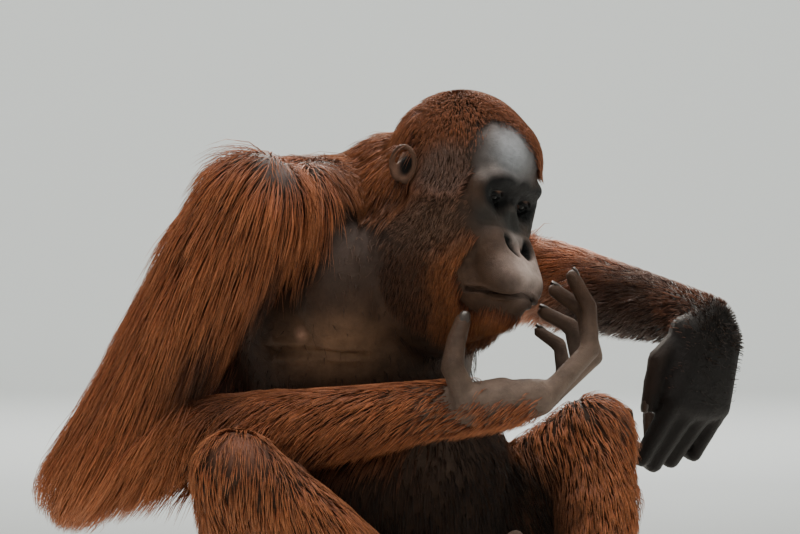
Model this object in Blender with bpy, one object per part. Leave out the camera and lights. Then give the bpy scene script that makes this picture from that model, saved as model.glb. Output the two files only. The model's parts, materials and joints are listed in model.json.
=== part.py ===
"""A sitting orangutan, life size, as a still museum model.

The animal sits on the floor with both knees up.  It faces -Y and its right side is towards -X.
The origin is on the floor under the middle of the hips.  Lengths are metres.

Each region is modelled like clay: eggs and hulls of balls stand for muscle and bone, a coat depth is
added to them, and the whole is fused, smoothed and reduced to facets.  Limbs are parted at the joints
by planes, and a region in front is carved out of the one behind it, with a hair gap between the two.
"""
from math import cos, radians, sin

import bmesh
import bpy
from mathutils import Matrix, Vector

GAP = 0.0006            # room between two neighbouring solids
BODY_VOXEL = 0.0055     # grain of the clay on the trunk and limbs
HEAD_VOXEL = 0.0032
DIGIT_VOXEL = 0.0022
ANKLE_RISE = 0.014      # how far above the ankle's middle the foot ends
TOE_CLEARANCE = 0.002   # the toes stay just off the floor, and the sole carries the foot
TRUNK_FACES, NECK_FACES, HEAD_FACES = 560, 210, 1200
ARM_FACES, LEG_FACES = 640, 520
EAR_FACES, DIGIT_FACES, THUMB_FACES = 150, 54, 58
DIGIT_TAPER = 0.87      # each joint's width as a share of the one before
PALM_PAD = 0.007        # flesh of the palm over the roots of the fingers
THUMB_THICK = 0.0155
BIG_TOE_THICK = 0.0135
SIDES = ("right", "left")

# The posture: every joint of the skeleton.
HIP = {"right": Vector((-0.085, 0.000, 0.090)), "left": Vector((0.085, 0.000, 0.090))}
KNEE = {"right": Vector((-0.282, -0.100, 0.260)), "left": Vector((0.192, -0.178, 0.291))}
ANKLE = {"right": Vector((-0.106, -0.233, 0.087)), "left": Vector((0.124, -0.251, 0.070))}
SHOULDER = {"right": Vector((-0.206, -0.048, 0.550)), "left": Vector((0.149, 0.028, 0.557))}
ELBOW = {"right": Vector((-0.341, 0.044, 0.281)), "left": Vector((0.421, 0.181, 0.480))}
WRIST = {"right": Vector((-0.060, -0.194, 0.328)), "left": Vector((0.389, -0.176, 0.418))}

# The head's own frame: face to -Y, crown to +Z, its left to +X, in hundredths of a metre.
HEAD_CENTRE = Vector((-0.002, -0.146, 0.567))
HEAD_YAW, HEAD_NOD, HEAD_ROLL = radians(9.5), radians(15.7), radians(10.9)
HEAD_UNIT = 0.0097
HEAD_HAIR = 0.6         # depth of the hair on the crown, in the head's units
FACE_SKIN = 0.12        # room for the creased skin of the bare face
HEAD = (Matrix.Translation(HEAD_CENTRE) @ Matrix.Rotation(HEAD_YAW, 4, "Z")
        @ Matrix.Rotation(HEAD_NOD, 4, "X") @ Matrix.Rotation(HEAD_ROLL, 4, "Y")
        @ Matrix.Scale(HEAD_UNIT, 4))

# A hand's or foot's own frame: which way its fingers run and its palm or sole faces.
REACH = {
    "hand_right": (Vector((0.83, -0.55, 0.08)), Vector((0.03, 0.18, 0.96))),
    "hand_left": (Vector((-0.25, 0.00, -0.97)), Vector((0.085, 0.976, 0.0))),
    "foot_right": (Vector((0.36, -0.22, 0.91)), Vector((0.75, -0.50, -0.42))),
    "foot_left": (Vector((0.42, -0.90, 0.0)), Vector((0.0, 0.0, -1.0))),
}
ROOT = {
    "hand_right": WRIST["right"], "hand_left": WRIST["left"],
    "foot_right": Vector((-0.113, -0.224, 0.034)), "foot_left": Vector((0.118, -0.226, 0.034)),
}

# Digits of a hand: place across the palm, distance from the wrist, three lengths, root thickness.
FINGERS = {
    "index": (0.034, 0.108, (0.069, 0.048, 0.037), 0.0134),
    "middle": (0.012, 0.112, (0.069, 0.052, 0.038), 0.0136),
    "ring": (-0.012, 0.109, (0.062, 0.042, 0.034), 0.0130),
    "little": (-0.036, 0.102, (0.052, 0.034, 0.027), 0.0116),
}
FINGER_BENDS = {
    "hand_right": {"index": (41, 44, 27), "middle": (36, 59, 45),
                   "ring": (37, 60, 51), "little": (34, 59, 48)},
    "hand_left": {"index": (30, 80, 45), "middle": (34, 82, 45),
                  "ring": (36, 80, 45), "little": (30, 78, 45)},
}
THUMB_START = (0.031, 0.020)
THUMB_LENGTHS = (0.046, 0.028, 0.026)
THUMB_WAYS = {   # each length's direction along the palm, across it and out of it
    "hand_right": ((-0.39, 0.45, 0.81), (0.26, -0.05, 0.94), (0.43, -0.21, 0.87)),
    "hand_left": ((0.80, 0.55, 0.20), (0.98, -0.02, 0.15), (0.97, -0.15, 0.20)),
}
# Digits of a foot, in the same form.
TOES = {
    "toe_two": (0.030, 0.142, (0.040, 0.030, 0.022), 0.0115),
    "toe_three": (0.010, 0.146, (0.042, 0.031, 0.023), 0.0118),
    "toe_four": (-0.011, 0.142, (0.040, 0.030, 0.022), 0.0115),
    "toe_five": (-0.031, 0.134, (0.036, 0.027, 0.020), 0.0108),
}
TOE_BENDS = {"foot_right": (34, 78, 46), "foot_left": (-18, 62, 46)}
BIG_TOE_START = (0.030, 0.055)
BIG_TOE_LENGTHS = (0.034, 0.026)
BIG_TOE_WAYS = {"foot_right": ((0.45, 0.70, 0.55), (0.75, 0.25, 0.60)),
                "foot_left": ((0.45, 0.85, 0.05), (0.85, 0.50, 0.10))}

COLOURS = {   # base colour, roughness
    "coat": ((0.28, 0.075, 0.025, 1.0), 0.75),
    "dark_skin": ((0.045, 0.032, 0.033, 1.0), 0.6),
    "eye": ((0.03, 0.012, 0.006, 1.0), 0.15),
}


def clear_scene():
    for thing in list(bpy.data.objects):
        bpy.data.objects.remove(thing)


def make_material(slot):
    colour, roughness = COLOURS[slot]
    material = bpy.data.materials.new(slot)
    material.use_nodes = True
    shader = material.node_tree.nodes["Principled BSDF"]
    shader.inputs["Base Color"].default_value = colour
    shader.inputs["Roughness"].default_value = roughness
    return material


class Clay:
    """Overlapping closed shapes that are later fused into one."""

    def __init__(self, frame=None):
        self.bm = bmesh.new()
        self.frame = frame or Matrix.Identity(4)

    def egg(self, centre, semi, yaw=0.0, pitch=0.0, coat=0.0):
        """An ellipsoid: yaw turns it about Z and pitch about X."""
        sizes = [s + coat for s in semi]
        place = (self.frame @ Matrix.Translation(Vector(centre)) @ Matrix.Rotation(yaw, 4, "Z")
                 @ Matrix.Rotation(pitch, 4, "X") @ Matrix.Diagonal((*sizes, 1.0)))
        bmesh.ops.create_icosphere(self.bm, subdivisions=3, radius=1.0, matrix=place)

    def hull(self, *balls, coat=0.0):
        """The tightest skin round some balls, each a centre and a radius."""
        shell = bmesh.new()
        for centre, radius in balls:
            ball = bmesh.new()
            bmesh.ops.create_icosphere(ball, subdivisions=2, radius=radius + coat,
                                       matrix=self.frame @ Matrix.Translation(Vector(centre)))
            for vert in ball.verts:
                shell.verts.new(vert.co)
            ball.free()
        made = bmesh.ops.convex_hull(shell, input=shell.verts[:])
        inside = {e for key in ("geom_interior", "geom_unused") for e in made[key]}
        loose = [v for v in shell.verts if v in inside or not v.link_faces]
        bmesh.ops.delete(shell, geom=loose, context="VERTS")
        bmesh.ops.recalc_face_normals(shell, faces=shell.faces[:])
        mesh = bpy.data.meshes.new("shell")
        shell.to_mesh(mesh)
        shell.free()
        self.bm.from_mesh(mesh)
        bpy.data.meshes.remove(mesh)

    def fuse(self, name, voxel, smoothing, faces, presses=(), keep=None):
        """One closed, smoothed and reduced mesh of all the shapes."""
        mesh = bpy.data.meshes.new(name)
        self.bm.to_mesh(mesh)
        self.bm.free()
        work = bpy.data.objects.new(name, mesh)
        bpy.context.scene.collection.objects.link(work)
        remesh = work.modifiers.new("Fuse", "REMESH")
        remesh.mode = "VOXEL"
        remesh.voxel_size = voxel
        smooth = work.modifiers.new("Smooth", "SMOOTH")
        smooth.factor = 0.5
        smooth.iterations = smoothing
        bake(work)
        for centre, radius, push in presses:
            press(work.data, centre, radius, push)
        weigh(work, keep)
        reduce = work.modifiers.new("Reduce", "DECIMATE")
        reduce.ratio = faces / sum(len(p.vertices) - 2 for p in work.data.polygons)
        reduce.use_collapse_triangulate = True
        if keep:
            reduce.vertex_group = "loose"
            reduce.vertex_group_factor = 1.0
        bake(work)
        work.vertex_groups.clear()
        return work


def bake(work):
    """Replaces the mesh by the one its modifiers make."""
    bpy.context.view_layer.update()
    seen = work.evaluated_get(bpy.context.evaluated_depsgraph_get())
    work.data = bpy.data.meshes.new_from_object(seen)
    work.modifiers.clear()


def press(mesh, centre, radius, push):
    """Pushes the surface near a point, like a thumb in clay."""
    middle = min(mesh.vertices, key=lambda v: (v.co - centre).length).co.copy()
    for vert in mesh.vertices:
        near = 1.0 - (vert.co - middle).length / radius
        if near > 0.0:
            vert.co += push * (near * near * (3.0 - 2.0 * near))


def weigh(work, keep):
    """Marks how freely each place may lose facets: less where detail is kept."""
    if not keep:
        return
    centre, radius, least = keep
    group = work.vertex_groups.new(name="loose")
    for vert in work.data.vertices:
        away = min(1.0, (vert.co - centre).length / radius)
        group.add([vert.index], least + (1.0 - least) * away ** 3, "REPLACE")


def largest_piece(work):
    """Drops all but the biggest closed piece, and merges slivers."""
    bm = bmesh.new()
    bm.from_mesh(work.data)
    bmesh.ops.triangulate(bm, faces=bm.faces[:])
    unseen = set(bm.verts)
    pieces = []
    while unseen:
        stack = [unseen.pop()]
        piece = set(stack)
        while stack:
            for edge in stack.pop().link_edges:
                for vert in edge.verts:
                    if vert in unseen:
                        unseen.remove(vert)
                        piece.add(vert)
                        stack.append(vert)
        pieces.append(piece)
    pieces.sort(key=len)
    for piece in pieces[:-1]:
        bmesh.ops.delete(bm, geom=list(piece), context="VERTS")
    bm.to_mesh(work.data)
    bm.free()


def halves(work, point, normal, names):
    """Cuts a closed piece in two by a plane, with a gap: the half behind the plane comes first."""
    result = []
    for name, side in zip(names, (-1.0, 1.0)):
        bm = bmesh.new()
        bm.from_mesh(work.data)
        bmesh.ops.bisect_plane(bm, geom=bm.verts[:] + bm.edges[:] + bm.faces[:], dist=0.00001,
                               plane_co=point + normal * (side * GAP / 2), plane_no=normal,
                               clear_outer=side < 0, clear_inner=side > 0)
        rim = [e for e in bm.edges if e.is_boundary]
        bmesh.ops.holes_fill(bm, edges=rim, sides=0)
        bmesh.ops.triangulate(bm, faces=bm.faces[:])
        bmesh.ops.recalc_face_normals(bm, faces=bm.faces[:])
        mesh = bpy.data.meshes.new(name)
        bm.to_mesh(mesh)
        bm.free()
        half = bpy.data.objects.new(name, mesh)
        bpy.context.scene.collection.objects.link(half)
        largest_piece(half)
        result.append(half)
    bpy.data.objects.remove(work)
    return result


def grown(work):
    """A copy of a piece, swollen by the gap."""
    copy = bpy.data.objects.new(work.name + "_room", work.data.copy())
    bpy.context.scene.collection.objects.link(copy)
    for vert, normal in zip(copy.data.vertices, [n.vector.copy() for n in work.data.vertex_normals]):
        vert.co += normal * GAP
    return copy


def carve(work, *others):
    """Cuts room for the other pieces out of this one."""
    for other in others:
        if not boxes_meet(work, other):
            continue
        room = grown(other)
        cut = work.modifiers.new("Room", "BOOLEAN")
        cut.operation = "DIFFERENCE"
        cut.solver = "EXACT"
        cut.object = room
        bake(work)
        bpy.data.objects.remove(room)
        largest_piece(work)


def boxes_meet(one, two):
    low_one, high_one = corners(one)
    low_two, high_two = corners(two)
    return all(low_one[i] < high_two[i] + GAP and low_two[i] < high_one[i] + GAP for i in range(3))


def corners(work):
    places = [v.co for v in work.data.vertices]
    low = [min(p[i] for p in places) for i in range(3)]
    high = [max(p[i] for p in places) for i in range(3)]
    return low, high


def stand_flat(work, level=0.0):
    """Planes off whatever reaches below a level, so that the piece has a flat to rest on."""
    bm = bmesh.new()
    bm.from_mesh(work.data)
    bmesh.ops.bisect_plane(bm, geom=bm.verts[:] + bm.edges[:] + bm.faces[:], dist=0.00001,
                           plane_co=(0, 0, level), plane_no=(0, 0, -1), clear_outer=True)
    rim = [e for e in bm.edges if e.is_boundary]
    if rim:
        bmesh.ops.holes_fill(bm, edges=rim, sides=0)
    bmesh.ops.triangulate(bm, faces=bm.faces[:])
    bmesh.ops.recalc_face_normals(bm, faces=bm.faces[:])
    bm.to_mesh(work.data)
    bm.free()
    largest_piece(work)


def mitre(before, joint, after):
    """The normal of the plane that halves the bend at a joint, pointing to the far limb."""
    inward = (joint - before).normalized()
    outward = (after - joint).normalized()
    return (inward + outward).normalized()


def between(a, b, share, drop=0.0):
    return a.lerp(b, share) - Vector((0, 0, drop))


def palm_frame(name):
    """The directions along the digits, across to the thumb's side and out of the palm."""
    along, out = (v.normalized() for v in REACH[name])
    out = (out - along * out.dot(along)).normalized()
    across = along.cross(out) if name.endswith("right") else out.cross(along)
    return along, across, out


def make_trunk():
    clay = Clay()
    clay.egg((0, 0.020, 0.110), (0.150, 0.122, 0.118), coat=0.012)
    clay.egg((0, -0.030, 0.235), (0.155, 0.140, 0.150), coat=0.010)
    clay.egg((0, 0.045, 0.270), (0.150, 0.110, 0.200), coat=0.018)
    clay.egg((0, 0.010, 0.410), (0.165, 0.125, 0.170), yaw=radians(12), coat=0.004)
    clay.egg((0, 0.062, 0.418), (0.152, 0.098, 0.165), yaw=radians(12), coat=0.024)
    clay.egg((-0.078, -0.070, 0.450), (0.080, 0.052, 0.085), yaw=radians(12), coat=0.002)
    clay.egg((0.070, -0.050, 0.450), (0.080, 0.052, 0.085), yaw=radians(12), coat=0.002)
    girdle = ((-0.140, -0.034, 0.540), 0.058), ((0.0, 0.040, 0.540), 0.060), ((0.110, 0.020, 0.545), 0.058)
    clay.hull(*girdle, coat=0.010)
    trunk = clay.fuse("trunk", BODY_VOXEL, 16, TRUNK_FACES)
    stand_flat(trunk)
    return trunk


def make_neck():
    clay = Clay()
    clay.hull(((0.000, 0.030, 0.520), 0.080), ((-0.004, -0.090, 0.545), 0.070), coat=0.004)
    clay.hull(((0.000, 0.045, 0.535), 0.052), ((0.000, -0.060, 0.572), 0.056), coat=0.026)
    clay.egg((0.000, -0.120, 0.478), (0.102, 0.085, 0.098), coat=0.003)
    return clay.fuse("neck", BODY_VOXEL, 8, NECK_FACES)


def head_point(x, y, z):
    return HEAD @ Vector((x, y, z))


def make_head():
    clay = Clay(HEAD)
    clay.egg((0, -0.3, 3.9), (7.1, 8.1, 7.2), coat=HEAD_HAIR)
    clay.egg((0, -1.0, 1.0), (6.9, 7.4, 5.2), coat=0.4)
    clay.egg((0, -3.4, 4.2), (6.3, 6.0, 5.7), coat=FACE_SKIN)
    brow = ((-3.8, -7.7, 2.5), 1.5), ((3.8, -7.7, 2.5), 1.5), ((0, -8.0, 3.2), 1.5)
    clay.hull(*brow, coat=FACE_SKIN)
    nostrils = ((1.25, -8.9, -3.6), 1.2), ((-1.25, -8.9, -3.6), 1.2)
    clay.hull(((0, -7.3, 1.6), 1.1), ((0, -8.3, -2.2), 1.3), *nostrils, coat=FACE_SKIN)
    clay.hull(((-3.5, -8.0, -2.4), 1.6), ((3.5, -8.0, -2.4), 1.6), ((0, -8.0, -3.4), 1.8), coat=FACE_SKIN)
    lip = ((-1.9, -11.7, -7.9), 2.8), ((1.9, -11.7, -7.9), 2.8)
    clay.hull(((-2.9, -8.6, -4.3), 2.3), ((2.9, -8.6, -4.3), 2.3), *lip, coat=FACE_SKIN)
    chin = ((-1.5, -10.9, -10.2), 2.5), ((1.5, -10.9, -10.2), 2.5)
    clay.hull(((-2.4, -6.8, -8.4), 3.2), ((2.4, -6.8, -8.4), 3.2), *chin, coat=FACE_SKIN)
    for side in (-1, 1):
        orbit = ((side * 5.1, -6.9, 1.3), 1.4), ((side * 5.0, -7.1, -0.9), 1.4)
        clay.hull(*orbit, ((side * 3.7, -7.9, -2.2), 1.6), coat=FACE_SKIN)
        cheek = ((side * 4.9, -5.6, -0.9), 1.7), ((side * 5.6, -1.2, -1.0), 1.8)
        clay.hull(*cheek, ((side * 4.6, -1.6, -5.6), 2.4), ((side * 2.8, -7.6, -6.0), 2.7))
    clay.hull(((-4.6, -1.4, -5.5), 2.6), ((0, -10.0, -10.8), 3.0), ((4.6, -1.4, -5.5), 2.6))
    beard = ((0, -3.6, -13.4), 3.6), ((0, -8.6, -14.2), 3.2)
    clay.hull(((-4.6, -4.2, -9.0), 3.1), ((4.6, -4.2, -9.0), 3.1), *beard)
    turn = HEAD.to_quaternion()
    up, back = turn @ Vector((0, 0, 1)), turn @ Vector((0, 1, 0))
    presses = []
    for side in (-1.0, 1.0):
        presses.append((head_point(side * 2.95, -8.8, 0.8), 1.9 * HEAD_UNIT, back * 0.5 * HEAD_UNIT))
        presses.append((head_point(side * 1.4, -10.5, -3.5), 0.9 * HEAD_UNIT, (back + up * 0.4) * HEAD_UNIT))
    keep = (head_point(0, -9.5, -2.5), 9.5 * HEAD_UNIT, 0.16)
    return clay.fuse("head", HEAD_VOXEL, 9, HEAD_FACES, presses, keep)


def make_ear(side, name):
    clay = Clay(HEAD)
    rim = []
    for step in range(11):
        angle = radians(-60 + 25 * step)
        rim.append((side * 8.0 + side * 0.5 * sin(angle), 1.9 + 1.2 * cos(angle), 0.8 + 1.9 * sin(angle)))
    for start, end in zip(rim, rim[1:]):
        clay.hull((start, 0.45), (end, 0.45))
    clay.egg((side * 7.2, 1.9, 0.7), (0.55, 1.3, 1.9))
    clay.hull(((side * 7.4, 1.0, -1.0), 0.5), ((side * 7.6, 1.5, -0.8), 0.45))
    return clay.fuse(name, DIGIT_VOXEL, 2, EAR_FACES)


def make_eye(side, name):
    bm = bmesh.new()
    place = HEAD @ Matrix.Translation((side * 2.95, -6.95, 0.85))
    bmesh.ops.create_icosphere(bm, subdivisions=2, radius=1.15, matrix=place)
    mesh = bpy.data.meshes.new(name)
    bm.to_mesh(mesh)
    bm.free()
    eye = bpy.data.objects.new(name, mesh)
    bpy.context.scene.collection.objects.link(eye)
    return eye


def make_arm(side):
    shoulder, elbow, wrist = SHOULDER[side], ELBOW[side], WRIST[side]
    clay = Clay()
    clay.hull((shoulder, 0.058), (between(shoulder, elbow, 0.20), 0.066), coat=0.006)
    clay.hull((between(shoulder, elbow, 0.15), 0.058), (between(shoulder, elbow, 0.55), 0.052), coat=0.023)
    clay.hull((between(shoulder, elbow, 0.50), 0.050), (elbow, 0.045), coat=0.026)
    clay.hull((elbow, 0.045), (between(elbow, wrist, 0.35), 0.043), coat=0.010)
    clay.hull((between(elbow, wrist, 0.30), 0.043), (wrist, 0.029), coat=0.006)
    hanging = (between(elbow, wrist, 0.10, 0.022), 0.045), (between(elbow, wrist, 0.72, 0.020), 0.034)
    clay.hull(*hanging, coat=0.004)
    if side == "right":
        clay.egg(elbow + Vector((0.010, -0.005, -0.020)), (0.062, 0.062, 0.060), coat=0.010)
    else:
        clay.egg(elbow + Vector((0.0, 0.0, -0.030)), (0.050, 0.050, 0.050), coat=0.010)
    add_palm(clay, side)
    return clay.fuse("arm_" + side, BODY_VOXEL, 4, ARM_FACES)


def part_arm(arm, side):
    """The upper arm, forearm and palm of a whole arm."""
    shoulder, elbow, wrist = SHOULDER[side], ELBOW[side], WRIST[side]
    names = ("upper_arm_" + side, "lower_arm_" + side)
    upper, rest = halves(arm, elbow, mitre(shoulder, elbow, wrist), names)
    along = palm_frame("hand_" + side)[0]
    cut = mitre(elbow, wrist, wrist + along)
    lower, palm = halves(rest, wrist, cut, ("forearm_" + side, "hand_" + side))
    return upper, lower, palm


def add_palm(clay, side):
    name = "hand_" + side
    along, across, out = palm_frame(name)
    wrist = WRIST[side]
    knuckles = []
    for place, distance, _, thick in FINGERS.values():
        knuckles.append((wrist + along * (distance - 0.010) + across * place * 0.92, thick + PALM_PAD))
    heel = wrist + along * 0.022 - out * 0.002
    clay.hull((wrist, 0.029), (heel + across * 0.022, 0.026), (heel - across * 0.022, 0.025), *knuckles)
    thumb_root = wrist + along * THUMB_START[1] + across * THUMB_START[0]
    clay.hull((thumb_root, 0.022), (wrist + along * 0.060 + across * 0.020 + out * 0.004, 0.023))


def digit(name, start, directions, lengths, thick, faces=DIGIT_FACES):
    """One finger or toe: a chain of rounded lengths, each a little thinner."""
    clay = Clay()
    spots = [start]
    for direction, length in zip(directions, lengths):
        spots.append(spots[-1] + direction * length)
    widths = [thick * DIGIT_TAPER ** i for i in range(len(spots))]
    for spot, end, wide, narrow in zip(spots, spots[1:], widths, widths[1:]):
        clay.hull((spot, wide), (end, narrow))
    return clay.fuse(name, DIGIT_VOXEL, 2, faces)


def make_digits(limb, table, bends):
    """The four long digits of a hand or foot, bent by their own angles."""
    along, across, out = palm_frame(limb)
    kind, side = limb.split("_")
    made = []
    for name, (place, distance, lengths, thick) in table.items():
        start = ROOT[limb] + along * distance + across * place
        angle = 0.0
        directions = []
        for bend in bends[name] if isinstance(bends, dict) else bends:
            angle += radians(bend)
            directions.append(along * cos(angle) + out * sin(angle))
        made.append(digit(name + "_" + side, start, directions, lengths, thick))
    return made


def make_thumb(limb, name, start, ways, lengths, thick):
    along, across, out = palm_frame(limb)
    root = ROOT[limb] + across * start[0] + along * start[1]
    directions = [(along * a + across * b + out * c).normalized() for a, b, c in ways]
    return digit(name, root, directions, lengths, thick, THUMB_FACES)


def make_leg(side):
    hip, knee, ankle = HIP[side], KNEE[side], ANKLE[side]
    limb = "foot_" + side
    along, across, out = palm_frame(limb)
    heel = ROOT[limb]
    clay = Clay()
    clay.hull((hip, 0.082), (between(hip, knee, 0.45), 0.072), coat=0.010)
    clay.hull((between(hip, knee, 0.40), 0.072), (knee, 0.046), coat=0.008)
    clay.hull((knee, 0.044), (between(knee, ankle, 0.40), 0.045), coat=0.009)
    clay.hull((between(knee, ankle, 0.35), 0.045), (ankle, 0.032), coat=0.011)
    clay.hull((ankle, 0.030), (heel, 0.034))
    ball = heel + along * 0.128
    clay.hull((heel, 0.034), (heel + along * 0.050 - out * 0.010, 0.032),
              (ball + across * 0.024, 0.019), (ball - across * 0.024, 0.018))
    big_toe_root = heel + across * BIG_TOE_START[0] + along * BIG_TOE_START[1]
    clay.hull((big_toe_root, 0.017), (heel + along * 0.05, 0.024))
    leg = clay.fuse("leg_" + side, BODY_VOXEL, 4, LEG_FACES)
    stand_flat(leg)
    return leg


def part_leg(leg, side):
    """The thigh, shin and foot of a whole leg."""
    hip, knee, ankle = HIP[side], KNEE[side], ANKLE[side]
    sole = palm_frame("foot_" + side)[2]
    names = ("thigh_" + side, "lower_leg_" + side)
    thigh, rest = halves(leg, knee, mitre(hip, knee, ankle), names)
    shin, foot = halves(rest, ankle - sole * ANKLE_RISE, sole, ("shin_" + side, "foot_" + side))
    return thigh, shin, foot


def dress(pieces, slot):
    material = make_material(slot)
    for piece in pieces:
        piece.data.materials.clear()
        piece.data.materials.append(material)
        piece.data.shade_smooth()
        piece.data.set_sharp_from_angle(angle=radians(50))


def main():
    clear_scene()
    eyes = [make_eye(-1.0, "eye_right"), make_eye(1.0, "eye_left")]
    ears = [make_ear(-1.0, "ear_right"), make_ear(1.0, "ear_left")]
    head, neck, trunk = make_head(), make_neck(), make_trunk()
    arms = [make_arm(side) for side in SIDES]
    legs = [make_leg(side) for side in SIDES]
    carve(trunk, head, neck, *arms, *legs)
    carve(legs[1], legs[0])
    for leg in legs:
        carve(leg, *arms)
    for arm in arms:
        carve(arm, head, neck)
    carve(neck, head, *ears)
    for ear in ears:
        carve(ear, head)
    carve(head, *eyes)
    furred, bare = [head, neck, trunk], list(ears)
    for side, arm, leg in zip(SIDES, arms, legs):
        upper, lower, palm = part_arm(arm, side)
        thigh, shin, foot = part_leg(leg, side)
        limb = "hand_" + side
        fingers = make_digits(limb, FINGERS, FINGER_BENDS[limb])
        thumb = make_thumb(limb, "thumb_" + side, THUMB_START, THUMB_WAYS[limb], THUMB_LENGTHS, THUMB_THICK)
        fingers.append(thumb)
        limb = "foot_" + side
        toes = make_digits(limb, TOES, TOE_BENDS[limb])
        ways = BIG_TOE_WAYS[limb]
        toes.append(make_thumb(limb, "big_toe_" + side, BIG_TOE_START, ways, BIG_TOE_LENGTHS, BIG_TOE_THICK))
        for index, finger in enumerate(fingers):
            carve(finger, palm, *fingers[:index])
        for index, toe in enumerate(toes):
            stand_flat(toe, TOE_CLEARANCE)
            carve(toe, foot, *toes[:index])
        furred += [upper, lower, thigh, shin]
        bare += [palm, foot, *fingers, *toes]
    dress(furred, "coat")
    dress(bare, "dark_skin")
    dress(eyes, "eye")


main()
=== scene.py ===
# %% [markdown]
# # A sitting orangutan, life size
#
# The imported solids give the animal's posture and its outline out to the tips of the coat. This lesson makes
# what the eye sees inside that outline: one skin with a sculpted face, wet eyes, nails, and a coat of about
# a hundred thousand locks that follow the way the hair of the living animal lies. The frame is loaded first,
# because every later place is measured in it. Lengths are metres unless a comment says otherwise.

# %% Load the frame
import json
from math import cos, pi, radians, sin

import bmesh
import bpy
import numpy as np
from mathutils import Matrix, Vector
from mathutils.kdtree import KDTree

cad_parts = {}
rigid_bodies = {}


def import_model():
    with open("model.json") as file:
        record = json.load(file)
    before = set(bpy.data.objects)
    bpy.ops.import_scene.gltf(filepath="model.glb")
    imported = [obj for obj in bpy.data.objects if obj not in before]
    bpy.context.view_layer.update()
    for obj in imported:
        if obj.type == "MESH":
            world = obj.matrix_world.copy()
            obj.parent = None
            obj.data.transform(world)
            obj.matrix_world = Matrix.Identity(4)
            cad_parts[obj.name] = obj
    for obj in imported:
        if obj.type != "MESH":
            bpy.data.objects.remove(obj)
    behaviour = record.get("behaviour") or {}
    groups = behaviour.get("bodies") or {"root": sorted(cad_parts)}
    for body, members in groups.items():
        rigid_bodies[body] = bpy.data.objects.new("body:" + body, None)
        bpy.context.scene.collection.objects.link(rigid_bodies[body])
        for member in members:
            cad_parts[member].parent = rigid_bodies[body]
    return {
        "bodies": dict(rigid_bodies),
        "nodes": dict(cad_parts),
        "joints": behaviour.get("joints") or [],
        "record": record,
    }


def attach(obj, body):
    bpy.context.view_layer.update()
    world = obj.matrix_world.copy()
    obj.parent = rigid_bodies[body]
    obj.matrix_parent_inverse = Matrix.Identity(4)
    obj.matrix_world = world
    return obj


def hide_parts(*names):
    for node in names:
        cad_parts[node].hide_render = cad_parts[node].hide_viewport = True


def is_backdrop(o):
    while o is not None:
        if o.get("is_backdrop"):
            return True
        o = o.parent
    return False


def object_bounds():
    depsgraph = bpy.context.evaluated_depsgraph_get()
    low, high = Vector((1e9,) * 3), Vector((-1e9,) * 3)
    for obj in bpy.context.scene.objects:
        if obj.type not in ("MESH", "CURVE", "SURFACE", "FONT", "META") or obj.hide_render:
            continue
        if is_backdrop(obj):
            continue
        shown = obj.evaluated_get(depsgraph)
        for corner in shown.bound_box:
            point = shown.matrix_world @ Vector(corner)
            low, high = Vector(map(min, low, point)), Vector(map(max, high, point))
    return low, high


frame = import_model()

cad_box = [list(corner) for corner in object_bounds()]
print("the solids span", [round(high - low, 3) for low, high in zip(*cad_box)])

# %% [markdown]
# ## Colours and nodes
#
# Colours are easiest to judge as the hex values that a paint program shows, but shaders reckon in linear
# light, so one function turns one into the other. A second one adds a node with its settings and links, so
# that a material reads from top to bottom like a recipe. The rest put a mesh on its stand, turn a profile
# on the lathe, and copy a row of a table to the other side of the body.

# %% Helpers for colours, nodes and objects
def linear(code):
    """A hex colour such as '#a05a2c' as linear red, green and blue."""
    levels = [int(code[i:i + 2], 16) / 255 for i in (1, 3, 5)]
    return tuple(c / 12.92 if c <= 0.04045 else ((c + 0.055) / 1.055) ** 2.4 for c in levels)


def add_node(tree, kind, settings=(), **inputs):
    """A node with its settings; each input is a value or the socket that feeds it."""
    node = tree.nodes.new("ShaderNode" + kind)
    for key, value in dict(settings).items():
        setattr(node, key, value)
    for key, value in inputs.items():
        socket = node.inputs[int(key[1:])] if key[1:].isdigit() else node.inputs[key.replace("_", " ")]
        if isinstance(value, bpy.types.NodeSocket):
            tree.links.new(value, socket)
        else:
            socket.default_value = value
    return node


def new_material(name):
    material = bpy.data.materials.new(name)
    material.use_nodes = True
    return material, material.node_tree, material.node_tree.nodes["Principled BSDF"]


def mottled(tree, colour, scale, detail, rough, band, tones):
    """A colour made darker and lighter by a noise; band is the part of the noise that tones runs over."""
    place = add_node(tree, "TexCoord").outputs["Object"]
    patches = add_node(tree, "TexNoise", Vector=place, Scale=scale, Detail=detail, Roughness=rough)
    noise = patches.outputs["Fac"]
    tone = add_node(tree, "MapRange", Value=noise, From_Min=band[0], From_Max=band[1],
                    To_Min=tones[0], To_Max=tones[1]).outputs["Result"]
    toned = add_node(tree, "VectorMath", {"operation": "SCALE"}, _0=colour, Scale=tone).outputs["Vector"]
    return toned, noise, place


def in_scene(name, data):
    made = bpy.data.objects.new(name, data)
    bpy.context.scene.collection.objects.link(made)
    return made


def as_object(bm, name):
    mesh = bpy.data.meshes.new(name)
    bm.to_mesh(mesh)
    bm.free()
    return in_scene(name, mesh)


def lathe(profile, steps, weld):
    """A profile of radii and heights spun once round Z, with its seam and its poles welded."""
    bm = bmesh.new()
    row = [bm.verts.new((radius, 0, height)) for radius, height in profile]
    edges = [bm.edges.new(ends) for ends in zip(row, row[1:])]
    bmesh.ops.spin(bm, geom=row + edges, cent=(0, 0, 0), axis=(0, 0, 1), angle=2 * pi, steps=steps,
                   use_merge=True)
    bmesh.ops.remove_doubles(bm, verts=bm.verts, dist=weld)
    bmesh.ops.recalc_face_normals(bm, faces=bm.faces)
    return bm


def pair(centre, *rest):
    """A row of a table for the right side, and the same for the left."""
    x, y, z = centre
    return ((-x, y, z), *rest), ((x, y, z), *rest)


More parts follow.
